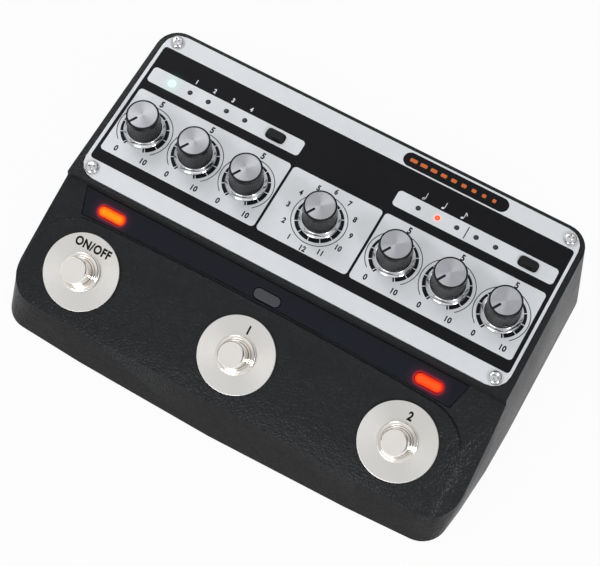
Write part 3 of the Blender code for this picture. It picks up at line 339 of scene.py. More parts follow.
SCREW_TOP = 0.0013
SCREW_ROOT = -0.0040
SCREW_HEAD_RADIUS = 0.0027
SCREW_FIRST_TURN = 17
SCREW_NEXT_TURN = 31
SCREW_PROFILE = (
    (0, SCREW_TOP), (0.0009, SCREW_TOP - 0.00003), (0.0016, SCREW_TOP - 0.00014),
    (0.0021, SCREW_TOP - 0.00033), (0.00245, SCREW_TOP - 0.00060), (0.00264, SCREW_TOP - 0.00090),
    (SCREW_HEAD_RADIUS, SCREW_TOP - 0.00115), (SCREW_HEAD_RADIUS, 0.0), (SCREW_RADIUS, 0.0),
    (SCREW_RADIUS, SCREW_ROOT), (0, SCREW_ROOT),
)

# Cross recess, from the bottom up: reach, half width of an arm, height
CROSS_LEVELS = ((0.0008, 0.00022, SCREW_TOP - 0.0008), (0.0016, 0.00042, SCREW_TOP + 0.0001))

LAMP_ROOT = -0.0011
LENS_PROFILE = (
    (0, 0.00010), (0.00030, 0.00008), (0.00055, 0.00002), (0.00072, -0.00008), (LIGHT_RADIUS, -0.00022),
    (LIGHT_RADIUS, LAMP_ROOT), (0, LAMP_ROOT),
)
BEZEL_INNER = 0.00080
BEZEL_OUTER = 0.00103
BEZEL_PROFILE = (
    (BEZEL_INNER, -0.00004), (0.00100, -0.00002), (BEZEL_OUTER, -0.00006), (BEZEL_OUTER, LAMP_ROOT),
    (BEZEL_INNER, LAMP_ROOT),
)
LAMP_SIDES = 32
STRIP_BEVEL = 0.0001
WINDOW_BEVEL = 0.0002
WINDOW_THICKNESS = 0.0036

WASHER_INNER = 0.0060
WASHER_TOP = 0.0013
WASHER_OUTER = 0.0148
WASHER_SIDES = 128
WASHER_PROFILE = (
    (WASHER_INNER, WASHER_TOP), (0.01445, WASHER_TOP), (0.0146, WASHER_TOP), (0.01474, 0.00126),
    (WASHER_OUTER, 0.0011), (WASHER_OUTER, SEAT_GAP), (WASHER_INNER, SEAT_GAP),
)
NUT_INNER = 0.00575
NUT_OUTER = 0.00745
NUT_PROFILE = (
    (NUT_INNER, 0.0031), (0.0059, 0.0034), (0.0061, 0.0036), (0.0065, 0.0038), (0.0069, 0.0038),
    (0.0072, 0.00365), (0.0074, 0.0033), (NUT_OUTER, 0.0028), (NUT_OUTER, 0.0016), (NUT_INNER, 0.0016),
)
PLUNGER_TOP = 0.0106
PLUNGER_ROOT = -0.0080
PLUNGER_SIDE = 0.0050
PLUNGER_PROFILE = (
    (0, PLUNGER_TOP), (0.0041, PLUNGER_TOP), (0.0043, PLUNGER_TOP), (0.0047, 0.01052), (0.00492, 0.01028),
    (PLUNGER_SIDE, 0.0099), (PLUNGER_SIDE, PLUNGER_ROOT), (0, PLUNGER_ROOT),
)
BUSHING_TOP = 0.0034
BUSHING_CROWN = 0.00012
BUSHING_INNER_ROUNDING = 0.00015
BUSHING_OUTER_ROUNDING = 0.00020
THREAD_COUNT = 12
THREAD_START = -0.0003
THREAD_PITCH = 0.0005
THREAD_DEPTH = 0.0002
THREAD_RISE = 0.0001
THREAD_FALL = 0.00015
THREAD_END = -0.0068

# Switch board under the deck and the bodies on it, in the deck's frame
BOARD_LOW = -0.0133
BOARD_TOP = -0.0121
BOARD_HALF = (0.0770, 0.0090)
BOARD_RADIUS = 0.0015
BOARD_BEVEL = 0.0001
SWITCH_HALF = 0.0075
SWITCH_RADIUS = 0.0012
SWITCH_TOP = -0.0036
SWITCH_BEVEL = 0.0002
METAL_SHARP = 50

# Camera and light
CAMERA_PLACE = (0.10836, -0.23768, 0.56846)
CAMERA_TURN = (25.0783, -2.3226, 29.1550)
CAMERA_LENS = 97.196
CAMERA_NEAR = 0.01
FLOOR_REACH = 3.0
FLOOR_TONES = ((0.72, 0.72, 0.72), (0.75, 0.75, 0.75))
FLOOR_MOTTLE = 0.05
FLOOR_WHITE = 0.94

# Lamps: name, place, side, power
LAMPS = (
    ("key", (-0.70, 0.55, 0.85), 0.6, 2.3),
    ("fill", (-0.1, -1.0, 0.42), 0.5, 3.0),
    ("edge", (0.80, -0.38, 0.68), 0.22, 3.2),
)

# Studio: white paper up to the first heights, dim above it, brighter overhead, as the sine of an elevation
PAPER_EDGE = (0.20, 0.26)
SKY_EDGE = (0.36, 0.62)
SKY_DIM = 0.22
SKY_LEVEL = 0.78

# Darker parts of the studio: direction, share of light left, where it starts and where it is full
SHADES = (
    (Vector(CAMERA_PLACE).normalized(), 0.3, 0.972, 0.99),
    (Vector((0.90, 0.44, 0)), 0.4, 0.25, 0.85),
)


class Graph:
    """A node tree with short ways to add to it."""

    def __init__(self, tree):
        self.tree = tree

    def add(self, kind, **settings):
        made = self.tree.nodes.new(kind)
        for key, value in settings.items():
            setattr(made, key, value)
        return made

    def link(self, source, target):
        self.tree.links.new(source, target)

    def spread(self, source, low, high, start=0.3, end=0.7):
        """A value mapped from a texture's middle range to the range low to high."""
        made = self.add("ShaderNodeMapRange")
        for key, value in (("From Min", start), ("From Max", end), ("To Min", low), ("To Max", high)):
            made.inputs[key].default_value = value
        self.link(source, made.inputs["Value"])
        return made.outputs["Result"]

    def math(self, operation, *values):
        """A sum of sockets and numbers."""
        made = self.add("ShaderNodeMath", operation=operation)
        for socket, value in zip(made.inputs, values):
            if isinstance(value, (int, float)):
                socket.default_value = value
            else:
                self.link(value, socket)
        return made.outputs["Value"]

    def toward(self, source, direction):
        """How well a direction agrees with another, 1 where they are the same."""
        made = self.add("ShaderNodeVectorMath", operation="DOT_PRODUCT")
        made.inputs[1].default_value = direction
        self.link(source, made.inputs[0])
        return made.outputs["Value"]


class Nodes(Graph):
    """A material's nodes, round its principled shader."""

    def __init__(self, name):
        self.material = bpy.data.materials.new(name)
        self.material.use_nodes = True
        super().__init__(self.material.node_tree)
        self.shader = self.tree.nodes["Principled BSDF"]
        self.place = self.add("ShaderNodeTexCoord").outputs["Object"]

    def noise(self, size, detail=2.0, roughness=0.5):
        """Noise whose features are about this many metres across."""
        made = self.add("ShaderNodeTexNoise")
        made.inputs["Scale"].default_value = 1 / size
        made.inputs["Detail"].default_value = detail
        made.inputs["Roughness"].default_value = roughness
        self.link(self.place, made.inputs["Vector"])
        return made.outputs["Fac"]

    def cells(self, size, feature):
        """A texture of cells about this many metres across."""
        made = self.add("ShaderNodeTexVoronoi", feature=feature)
        made.inputs["Scale"].default_value = 1 / size
        self.link(self.place, made.inputs["Vector"])
        return made

    def blend(self, factor, low, high):
        """A colour between two, by a factor."""
        made = self.add("ShaderNodeMix", data_type="RGBA")
        for key, colour in (("A", low), ("B", high)):
            if isinstance(colour, tuple):
                made.inputs[key].default_value = (*colour, 1)
            else:
                self.link(colour, made.inputs[key])
        self.link(factor, made.inputs["Factor"])
        return made.outputs["Result"]

    def bump(self, height, strength, distance):
        made = self.add("ShaderNodeBump")
        made.inputs["Strength"].default_value = strength
        made.inputs["Distance"].default_value = distance
        self.link(height, made.inputs["Height"])
        self.feed(Normal=made.outputs["Normal"])

    def distance(self, x, y, half_length):
        """How far a point lies from a line along X about (x, y), in the piece's own plane."""
        split = self.add("ShaderNodeSeparateXYZ")
        self.link(self.place, split.inputs["Vector"])
        across = self.math("ABSOLUTE", self.math("SUBTRACT", split.outputs["X"], x))
        over = self.math("MAXIMUM", self.math("SUBTRACT", across, half_length), 0.0)
        along = self.math("SUBTRACT", split.outputs["Y"], y)
        squares = self.math("ADD", self.math("MULTIPLY", over, over), self.math("MULTIPLY", along, along))
        return self.math("SQRT", squares)

    def glow(self, glows):
        """Light that a lit window sheds: (x, y, half length, inner, outer, colour, strength)."""
        total = None
        for x, y, half_length, inner, outer, colour, strength in glows:
            near = self.spread(self.distance(x, y, half_length), 1.0, 0.0, inner, outer)
            part = self.add("ShaderNodeVectorMath", operation="SCALE")
            part.inputs[0].default_value = shade(colour, strength)
            self.link(self.math("POWER", near, 2.0), part.inputs["Scale"])
            if total:
                joint = self.add("ShaderNodeVectorMath", operation="ADD")
                self.link(total, joint.inputs[0])
                self.link(part.outputs["Vector"], joint.inputs[1])
                part = joint
            total = part.outputs["Vector"]
        if total:
            self.feed(Emission_Color=total)
            self.set(Emission_Strength=1.0)

    def set(self, **values):
        """Set the shader's sockets."""
        for key, value in values.items():
            self.shader.inputs[key.replace("_", " ")].default_value = value

    def feed(self, **sources):
        """Link into the shader's sockets."""
        for key, source in sources.items():
            self.link(source, self.shader.inputs[key.replace("_", " ")])


def shade(colour, amount):
    return tuple(min(1.0, channel * amount) for channel in colour)


def finish(
    name, colour, roughness, metallic=0.0, spread=0.06, grain=0.0006, bump=0.15, depth=0.00003, glows=(),
    **more
):
    """A surface with fine grain, a slight unevenness of tone and a little wear in its gloss."""
    nodes = Nodes(name)
    nodes.set(Metallic=metallic, **more)
    fine = nodes.noise(grain, 3.0)
    broad = nodes.noise(grain * 25, 3.0)
    tone = nodes.spread(broad, 0, 1)
    nodes.feed(Base_Color=nodes.blend(tone, shade(colour, 1 - spread), shade(colour, 1 + spread)))
    nodes.feed(Roughness=nodes.spread(fine, roughness * 0.88, roughness * 1.12))
    nodes.bump(fine, bump, depth)
    nodes.glow(glows)
    return nodes.material


def crinkle_finish():
    """Black textured paint: fine close-set grains, lumps and shallow pits; the walls are painted lighter than
    the deck, a painted light from the front.
    """
    nodes = Nodes("crinkle_paint")
    grains = nodes.cells(PAINT_GRAIN, "SMOOTH_F1")
    grains.inputs["Smoothness"].default_value = 0.6
    spots = nodes.cells(PAINT_PIT, "F1")
    fine = nodes.noise(PAINT_FINE, 4.0, 0.6)
    lumps = nodes.noise(PAINT_LUMP, 3.0, 0.6)
    broad = nodes.noise(PAINT_PATCH, 3.0)
    rarer = nodes.math("MULTIPLY_ADD", nodes.noise(PAINT_PIT * 3), 0.6, spots.outputs["Distance"])
    pits = nodes.spread(rarer, 1.0, 0.0, 0.32, 0.42)
    mottle = nodes.spread(nodes.math("MULTIPLY_ADD", lumps, 0.5, fine), 0, 1, 0.5, 1.0)
    # The tone follows the paint's height: darker in the pits and low ground, lighter on the lumps, a painted
    # shade in the hollows
    tone = nodes.math("SUBTRACT", mottle, pits)
    split = nodes.add("ShaderNodeSeparateXYZ")
    nodes.link(nodes.add("ShaderNodeNewGeometry").outputs["Normal"], split.inputs["Vector"])
    level = nodes.spread(split.outputs["Z"], 0.0, 1.0, *LEVEL_RANGE)
    # Steep faces take the lighter wall tones by their normal: painted light from the front
    walls = nodes.blend(tone, *WALL_PAINTED_LIGHT_TONES)
    deck = nodes.blend(tone, *DECK_TONES)
    nodes.feed(Base_Color=nodes.blend(level, walls, deck))
    nodes.feed(Roughness=nodes.spread(broad, 0.30, 0.38))
    height = nodes.math("MULTIPLY_ADD", fine, 0.7, grains.outputs["Distance"])
    height = nodes.math("MULTIPLY_ADD", lumps, 1.6, height)
    nodes.bump(nodes.math("MULTIPLY_ADD", pits, -0.9, height), 0.8, PAINT_DEPTH)
    nodes.feed(Specular_IOR_Level=nodes.spread(split.outputs["Z"], 0.10, 0.25, *LEVEL_RANGE))
    return nodes.material


def spun_finish(name, low, high, roughness, grooves):
    """Metal turned on a lathe: fine rings that spread highlights into cones."""
    nodes = Nodes(name)
    nodes.set(Metallic=1.0, Anisotropic=grooves)
    rings = nodes.add("ShaderNodeTexWave", wave_type="RINGS", rings_direction="Z")
    rings.inputs["Scale"].default_value = 900
    rings.inputs["Distortion"].default_value = 1.0
    nodes.link(nodes.place, rings.inputs["Vector"])
    tone = nodes.spread(rings.outputs["Fac"], 0, 1)
    tangent = nodes.add("ShaderNodeTangent", direction_type="RADIAL", axis="Z")
    nodes.feed(
        Base_Color=nodes.blend(tone, low, high),
        Roughness=nodes.spread(tone, roughness * 0.9, roughness * 1.1, 0, 1),
        Tangent=tangent.outputs["Tangent"],
    )
    nodes.bump(rings.outputs["Fac"], 0.04, 0.00001)
    return nodes.material


def lit_finish(name, middle, edge, strength, half_length, reach):
    """A lit lens: bright in the middle and deeper in colour towards its rim."""
    nodes = Nodes(name)
    nodes.set(Roughness=0.3, Emission_Strength=strength, Specular_IOR_Level=0.2)
    near = nodes.spread(nodes.distance(0, 0, half_length), 1.0, 0.0, reach * 0.3, reach)
    speckle = nodes.spread(nodes.noise(0.0012, 2.0), -0.1, 0.1)
    tone = nodes.math("ADD", near, speckle)
    nodes.feed(
        Emission_Color=nodes.blend(tone, edge, middle),
        Base_Color=nodes.blend(tone, shade(edge, 0.1), shade(middle, 0.1)),
    )
    return nodes.material


CRINKLE = crinkle_finish()
SILVER = finish(
    "satin_silver", PANEL_SILVER, 0.45, 0.25, spread=0.02, grain=0.00025, bump=0.08, depth=0.00002,
    Specular_IOR_Level=0.3,
    glows=[
        (x, CENTRE_SHIFT + LIGHT_ROW, 0.0, inner, outer, colour, strength)
        for x, inner, outer, colour, strength in (
            (LEFT_LIGHTS[0], 0.0009, 0.0021, (0.55, 1.0, 0.80), 0.9),
            (LEFT_LIGHTS[0], LIGHT_RADIUS, LAMP_GLOW, (0.05, 1.0, 0.55), 0.16),
            (RIGHT_LIGHTS[1], LIGHT_RADIUS, 0.0026, (1.0, 0.12, 0.03), 0.45),
        )
    ],
)
INK_BLACK = finish(
    "black_print", (0.0060, 0.0058, 0.0080), 0.42, spread=0.1, grain=0.0002, bump=0.1, depth=0.00001,
    Specular_IOR_Level=0.12,
    glows=((LEFT_LIGHTS[0], LIGHT_ROW, 0.0, LIGHT_RADIUS, LAMP_GLOW, (0.05, 1.0, 0.50), 0.10),),
)
INK_SILVER = finish(
    "silver_print", PANEL_SILVER, 0.42, 0.35, spread=0.02, grain=0.00025, bump=0.05, depth=0.00001
)
INK_ORANGE = finish(
    "orange_print", (0.58, 0.13, 0.02), 0.45, spread=0.05, grain=0.0002, bump=0.05, depth=0.00001
)
KNOB_BLACK = finish(
    "knob_plastic", (0.0060, 0.0060, 0.0075), 0.16, spread=0.2, grain=0.0004, bump=0.12,
    Specular_IOR_Level=0.3,
)
CHROME = finish("chrome", (0.74, 0.74, 0.76), 0.06, 1.0, spread=0.02, grain=0.0004, bump=0.02, depth=0.00001)
SPUN = spun_finish("spun_silver", (0.42, 0.43, 0.46), (0.52, 0.53, 0.56), 0.34, 0.85)
WASHER = spun_finish("washer_steel", (0.80, 0.78, 0.75), (0.86, 0.84, 0.81), 0.30, 0.5)
NICKEL = finish("nickel", (0.94, 0.91, 0.87), 0.10, 1.0, spread=0.02, grain=0.0004, bump=0.03, depth=0.00001)
SMOKE = finish(
    "smoked_strip", (0.0050, 0.0065, 0.0125), 0.20, spread=0.08, grain=0.0008, bump=0.02, depth=0.00001,
    Specular_IOR_Level=0.2,
    glows=[
        (x, -WINDOW_DOWN, WINDOW_CORE, WINDOW_REACH, WINDOW_REACH + reach, colour, strength)
        for x, reach, colour, strength in (
            (-SWITCH_PITCH, HALO, (0.6, 0.03, 0.20), 0.10),
            (-SWITCH_PITCH, HALO_EDGE, (1.0, 0.03, 0.02), 0.7),
            (SWITCH_PITCH, HALO, (0.6, 0.02, 0.16), 0.10),
            (SWITCH_PITCH, HALO_EDGE, (1.0, 0.02, 0.02), 0.7),
        )
    ],
)
BUTTON = finish(
    "button_plastic", (0.0060, 0.0060, 0.0068), 0.34, spread=0.1, grain=0.0003, bump=0.1, depth=0.00002,
    Specular_IOR_Level=0.25,
)
LENS_DARK = finish(
    "lens_dark", (0.030, 0.030, 0.034), 0.25, spread=0.1, grain=0.0003, bump=0.05, depth=0.00001
)
WINDOW_DARK = finish(
    "window_dark", (0.040, 0.042, 0.050), 0.25, spread=0.1, grain=0.0005, bump=0.05, depth=0.00001
)
AMBER = lit_finish("amber_glow", (1.0, 0.30, 0.0), (1.0, 0.045, 0.0), 0.95, WINDOW_CORE, WINDOW_REACH)
RED = lit_finish("red_glow", (1.0, 0.105, 0.008), (0.85, 0.02, 0.0), 0.93, WINDOW_CORE, WINDOW_REACH)
GREEN = lit_finish("green_glow", (0.85, 1.0, 0.93), (0.60, 1.0, 0.80), 1.0, 0.0, LIGHT_RADIUS)
RED_DOT = lit_finish("red_dot_glow", (1.0, 0.25, 0.05), (1.0, 0.05, 0.01), 1.1, 0.0, LIGHT_RADIUS)
STEEL = finish("shaft_steel", (0.55, 0.55, 0.55), 0.3, 1.0, spread=0.05)
BOARD = finish("board_green", (0.010, 0.10, 0.045), 0.35, spread=0.15, grain=0.0008)
JACK_BLACK = finish("jack_plastic", (0.012, 0.012, 0.013), 0.36, spread=0.1, grain=0.0005)
BASE = finish(
    "base_paint", (0.020, 0.020, 0.022), 0.5, 0.2, spread=0.15, grain=0.0008, bump=0.3, depth=0.00006
)
ZINC = finish("zinc", (0.55, 0.55, 0.57), 0.25, 1.0, spread=0.08)
RUBBER = finish("rubber", (0.014, 0.014, 0.014), 0.75, spread=0.15, grain=0.0006, bump=0.4, depth=0.00008)

NODE_FINISHES = {
    "housing": CRINKLE,
    "faceplate": SILVER,
    "light_": SMOKE,
    "memory_button": BUTTON,
    "division_button": BUTTON,
    "knob_shaft": STEEL,
    "selector_switch": JACK_BLACK,
    "main_board": BOARD,
    "switch_board": BOARD,
    "jack_board": JACK_BLACK,
    "jack_nut": NICKEL,
    "base_plate": BASE,
    "base_screw": ZINC,
    "foot_": RUBBER,
    "panel_screw": CHROME,
    "footswitch_washer": WASHER,
    "footswitch_nut": NICKEL,
    "footswitch_plunger": NICKEL,
    "knob_cap": SPUN,
    "knob_": KNOB_BLACK,
}


def dress_nodes():
    """Give each CAD node the finish whose key its name starts with, the longest key first."""
    for name, node in frame["nodes"].items():
        keys = [key for key in NODE_FINISHES if name.startswith(key)]
        node.material_slots[0].material = NODE_FINISHES[max(keys, key=len)]


def add_piece(name, mesh, matrix, surface, slot, *nodes, body="chassis"):
    """Show a piece that rides on a body and stands for CAD nodes."""
    piece = show(bpy.data.objects.new(name, mesh))
    piece.matrix_world = matrix
    mesh.materials.append(surface)
    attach(piece, body)
    if nodes:
        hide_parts(*nodes)
    return piece


def show(thing):
    """Put an object into the scene."""
    bpy.context.scene.collection.objects.link(thing)
    return thing


def smooth(mesh, degrees=30):
    mesh.shade_smooth()
    mesh.set_sharp_from_angle(angle=math.radians(degrees))
    return mesh


def arc(corner, before, after, radius, steps):
    """Points of a round corner between two straight edges."""
    arrive = (before - corner).normalized()
    leave = (after - corner).normalized()
    half_angle = arrive.angle(leave) / 2
    centre = corner + (arrive + leave).normalized() * (radius / math.sin(half_angle))
    reach = radius / math.tan(half_angle)
    start = corner + arrive * reach - centre
    end = corner + leave * reach - centre
    return [centre + start.slerp(end, k / steps) * radius for k in range(steps + 1)]


def rounded(corners, steps=8, closed=True):
    """A line through corners given as (x, y, radius)."""
    spots = [Vector((x, y, 0)) for x, y, radius in corners]
    line = []
    for k, (x, y, radius) in enumerate(corners):
        inner = closed or 0 < k < len(corners) - 1
        if radius > 0 and inner:
            line += arc(spots[k], spots[k - 1], spots[(k + 1) % len(spots)], radius, steps)
        else:
            line.append(spots[k])
    return [(spot.x, spot.y) for spot in line]


def oblong(left, right, low, high, radius, steps=8):
    """A rectangle with round corners."""
    places = ((right, high), (left, high), (left, low), (right, low))
    return rounded([(x, y, radius) for x, y in places], steps)


def circle(radius, sides=64, x=0.0, y=0.0):
    turn = 2 * math.pi / sides
    return [(x + radius * math.cos(k * turn), y + radius * math.sin(k * turn)) for k in range(sides)]


def sector(inner, outer, start, end, x, y, steps=12):
    """A band of a ring between two angles in degrees."""
    angles = [math.radians(start + (end - start) * k / steps) for k in range(steps + 1)]
    line = [(x + outer * math.cos(a), y + outer * math.sin(a)) for a in angles]
    return line + [(x + inner * math.cos(a), y + inner * math.sin(a)) for a in reversed(angles)]


def flat_mesh(name, outlines, bottom, top, bevel=0.0):
    """A flat piece with filled outlines, between two heights."""
    curve = bpy.data.curves.new(name, "CURVE")
    curve.dimensions = "2D"
    curve.fill_mode = "BOTH"
    curve.extrude = (top - bottom) / 2 - bevel
    curve.bevel_depth = bevel
    curve.offset = -bevel
    for outline in outlines:
        spline = curve.splines.new("POLY")
        spline.points.add(len(outline) - 1)
        for point, (x, y) in zip(spline.points, outline):
            point.co = (x, y, 0, 1)
        spline.use_cyclic_u = True
    return baked_mesh(curve, (top + bottom) / 2)


def form_mesh(name, form):
    """Close a bmesh into a mesh."""
    mesh = bpy.data.meshes.new(name)
    form.to_mesh(mesh)
    form.free()
    return mesh


def baked_mesh(curve, lift):
    """The mesh of a curve or text, raised along its own Z axis."""
    guide = show(bpy.data.objects.new(curve.name, curve))
    bpy.context.view_layer.update()
    mesh = bpy.data.meshes.new_from_object(guide.evaluated_get(bpy.context.evaluated_depsgraph_get()))
    bpy.data.objects.remove(guide)
    form = bmesh.new()
    form.from_mesh(mesh)
    bmesh.ops.remove_doubles(form, verts=form.verts, dist=WELD)
    bmesh.ops.recalc_face_normals(form, faces=form.faces)
    bmesh.ops.translate(form, vec=(0, 0, lift), verts=form.verts)
    return form_mesh(curve.name, form)


def words(name, entries, top):
    """Generic condensed lettering as one thin print: entries are (text, x, y, cap height)."""
    form = bmesh.new()
    for text, x, y, height in entries:
        curve = bpy.data.curves.new(name, "FONT")
        curve.body = text
        curve.size = height / CAP_SHARE
        curve.offset = height * THIN_SHARE
        curve.bevel_depth = height * BOLD_SHARE
        curve.space_character = LETTER_SPACE
        curve.align_x = "CENTER"
        curve.align_y = "CENTER"
        flatten = INK / (2 * curve.bevel_depth)
        mesh = baked_mesh(curve, 0)
        mesh.transform(at(x, y, top - INK / 2) @ Matrix.Diagonal((LETTER_SHARE, 1, flatten, 1)))
        form.from_mesh(mesh)
    return form_mesh(name, form)


def turned(name, profile, sides=96, closed=False, teeth=0, depth=0.0, band=(0, 0), degrees=30):
    """A piece turned about Z from (radius, height) points, its outer side downwards.

    Teeth are flutes of a depth, cut where the height lies in the band.
    """
    form = bmesh.new()
    rings = []
    for radius, height in profile:
        if radius == 0:
            rings.append([form.verts.new((0, 0, height))])
            continue
        ring = []
        for k in range(sides):
            angle = 2 * math.pi * k / sides
            cut = 0.0
            if teeth and band[0] <= height <= band[1]:
                cut = depth * (0.5 - 0.5 * math.cos(teeth * angle))
            reach = radius - cut
            ring.append(form.verts.new((reach * math.cos(angle), reach * math.sin(angle), height)))
        rings.append(ring)
    pairs = list(zip(rings, rings[1:]))
    if closed:
        pairs.append((rings[-1], rings[0]))
    for upper, lower in pairs:
        for k in range(sides):
            after = (k + 1) % sides
            if len(upper) == 1:
                form.faces.new((upper[0], lower[k], lower[after]))
            elif len(lower) == 1:
                form.faces.new((upper[k], lower[0], upper[after]))
            else:
                form.faces.new((upper[k], lower[k], lower[after], upper[after]))
    bmesh.ops.recalc_face_normals(form, faces=form.faces)
    return smooth(form_mesh(name, form), degrees)


def loft_mesh(name, rings):
    """A closed skin over rings of the same number of points, from the lowest to the highest."""
    form = bmesh.new()
    loops = [[form.verts.new(point) for point in ring] for ring in rings]
    for lower, upper in zip(loops, loops[1:]):
        for k in range(len(lower)):
            after = (k + 1) % len(lower)
            form.faces.new((lower[k], lower[after], upper[after], upper[k]))
    form.faces.new(list(reversed(loops[0])))
    form.faces.new(loops[-1])
    bmesh.ops.recalc_face_normals(form, faces=form.faces)
    return form_mesh(name, form)


def stacked(name, levels, degrees=30):
    """A closed skin over flat outlines with the same number of points, given as (outline, height)."""
    rings = [[(x, y, height) for x, y in outline] for outline, height in levels]
    return smooth(loft_mesh(name, rings), degrees)


def place_cutter(mesh, matrix=None):
    """An object that only shapes others."""
    matrix = matrix or Matrix()
    cutter = bpy.data.objects.new(mesh.name, mesh)
    cutter.matrix_world = matrix
    cutter.display_type = "WIRE"
    cutter.hide_render = True
    CUTTERS.objects.link(cutter)
    return cutter


def boolean(target, cutter, operation="DIFFERENCE"):
    """Cut or join one object with another."""
    step = target.modifiers.new(cutter.name, "BOOLEAN")
    step.operation = operation
    step.object = cutter
    step.solver = "EXACT"


def evaluated_mesh(source):
    """The mesh of an object with its modifiers applied and its seams welded."""
    bpy.context.view_layer.update()
    graph = bpy.context.evaluated_depsgraph_get()
    mesh = bpy.data.meshes.new_from_object(source.evaluated_get(graph))
    form = bmesh.new()
    form.from_mesh(mesh)
    bmesh.ops.remove_doubles(form, verts=form.verts, dist=SEAM)
    form.to_mesh(mesh)
    form.free()
    return mesh


def clear_cutters():
    """Remove the objects that only shape others."""
    for cutter in list(CUTTERS.objects):
        bpy.data.objects.remove(cutter)


def settle(source):
    """Swap an object's modifiers for the mesh that they make."""
    mesh = evaluated_mesh(source)
    source.modifiers.clear()
    source.data = mesh
    return source


def rounded_rectangle(width, depth, radius, steps=CORNER_STEPS):
    """A rectangle about the origin with round corners."""
    return oblong(-width / 2, width / 2, -depth / 2, depth / 2, radius, steps)


def flat_cutter(name, outlines, bottom, top, frame):
    """A flat cutter between two heights of a frame."""
    return place_cutter(flat_mesh(name, outlines, bottom, top), frame)


def drill(form, matrix, radius, bottom, top, sides):
    """Add a round cutter between two heights of a frame."""
    middle = Matrix.Translation((0, 0, (top + bottom) / 2))
    sizes = {"radius1": radius, "radius2": radius, "depth": top - bottom}
    bmesh.ops.create_cone(form, cap_ends=True, segments=sides, matrix=matrix @ middle, **sizes)


def at(x, y, z=0.0):
    """A shift within a frame."""
    return Matrix.Translation((x, y, z))


def body_ring(height, half, rear, front, taper, bow, front_radius, inset):
    """The casting's outline at one height, drawn in by an inset."""
    half, rear, front = half - inset, rear - inset, front + inset
    rear_radius = RIM_RADIUS - inset
    corner_x, corner_y = half - taper, front + bow
    side = [(half, rear, rear_radius), (half, TAPER_START, 0)]
    for share in SIDE_CURVE_SHARES:
        y = TAPER_START + (corner_y - TAPER_START) * share
        side.append((half - taper * share * share, y, 0))
    side.append((corner_x, corner_y, front_radius - inset))
    for share in FRONT_CURVE_SHARES:
        side.append((corner_x * share, front + bow * share * share, 0))
    mirrored = [(-x, y, radius) for x, y, radius in reversed(side)]
    return [(x, y, height) for x, y in rounded(side + [(0, front, 0)] + mirrored)]


def half_width(height):
    """Half of the casting's width behind the deck at one height."""
    return BASE_HALF - FLARE_PER_HEIGHT * (height - BODY_LIFT)


def body_rings(bottom, inset):
    """The casting's three outlines: its foot, the deck's front edge and above the platform."""
    top = RIM_HEIGHT + OVERRUN
    front = DECK_FRONT_Y + CENTRE_SHIFT
    rim_rear = REAR - REAR_FLARE
    foot = (half_width(bottom), REAR, FRONT, BASE_TAPER, BASE_BOW, BASE_FRONT_RADIUS)
    edge = (half_width(DECK_FRONT_Z), REAR, front, DECK_TAPER, 0, DECK_FRONT_RADIUS)
    crown = (half_width(top), rim_rear, front, DECK_TAPER, 0, DECK_FRONT_RADIUS)
    levels = ((bottom, foot), (DECK_FRONT_Z, edge), (top, crown))
    return [body_ring(height, *sizes, inset) for height, sizes in levels]


def trim_above(mesh, height):
    """Remove what stands above a height of the panel's frame and close the cut."""
    form = bmesh.new()
    form.from_mesh(mesh)
    point = PANEL @ Vector((0, 0, height))
    normal = PANEL.to_3x3() @ Vector((0, 0, 1))
    geometry = form.verts[:] + form.edges[:] + form.faces[:]
    bmesh.ops.bisect_plane(
        form, geom=geometry, plane_co=point, plane_no=normal, clear_outer=True, dist=SEAM
    )
    rim = [edge for edge in form.edges if edge.is_boundary]
    bmesh.ops.edgeloop_fill(form, edges=rim)
    bmesh.ops.recalc_face_normals(form, faces=form.faces)
    form.to_mesh(mesh)
    form.free()


def deck_space(name, drop, wall_shift):
    """A cutter for the space above the deck, from its side view in the panel's frame."""
    wall = RIM_FRONT_Y + wall_shift
    far = RIM_FRONT_Y - DECK_LENGTH - FRONT_FLARE - OVERRUN
    sky = OVERRUN + RIM_RADIUS

    def surface(y):
        return -STEP_HEIGHT + (y - RIM_FRONT_Y) * math.tan(DECK_SLOPE) - drop / math.cos(DECK_SLOPE)

    outline = [(wall, surface(wall)), (wall, sky), (far, sky), (far, surface(far))]
    reach = BASE_HALF + OVERRUN
    return flat_cutter(name, [outline], -reach, reach, PANEL @ ACROSS)


def plateau_outline(inset):
    """The plateau's outline in the deck's frame, drawn in by an inset."""
    half, rear = PLATEAU_HALF - inset, -PLATEAU_REAR - inset * PLATEAU_REAR_RAMP_SHARE
    front = -DECK_LENGTH - FRONT_FLARE - OVERRUN - WALL
    side = [(half, front, 0), (half, rear - PLATEAU_BOW, PLATEAU_RADIUS - inset)]
    for share in reversed(PLATEAU_CURVE_SHARES):
        side.append((half * share, rear - PLATEAU_BOW * share * share, 0))
    mirrored = [(-x, y, radius) for x, y, radius in reversed(side)]
    return rounded(side + [(0, rear, 0)] + mirrored, DECK_PLATE_STEPS)


def plateau_form():
    """A cutter that saves the plateau when the space above the deck is cut."""
    levels = [(plateau_outline(0), -PLATEAU_HEIGHT - OVERRUN), (plateau_outline(0), -PLATEAU_HEIGHT)]
    for share, drop_share in PLATEAU_EDGE_SHARES:
        levels.append((plateau_outline(PLATEAU_RAMP * share), -PLATEAU_HEIGHT * drop_share))
    return place_cutter(stacked("plateau_form", levels), DECK)


def strip_outline(margin):
    """The light strip's outline in the deck's frame, grown by a margin."""
    half = STRIP_HALF + margin
    rear = -STRIP_MARGIN + margin
    front = -PLATEAU_REAR + STRIP_MARGIN - margin
    foot = half - STRIP_END_SLANT

    def edge(x):
        return front - PLATEAU_BOW * (x / PLATEAU_HALF) ** 2

    shares = PLATEAU_CURVE_SHARES
    right = [(half, rear)] + [(foot, edge(foot))]
    right += [(PLATEAU_HALF * share, edge(PLATEAU_HALF * share)) for share in reversed(shares)]
    left = [(-x, y) for x, y in reversed(right)]
    return right + [(0, edge(0))] + left


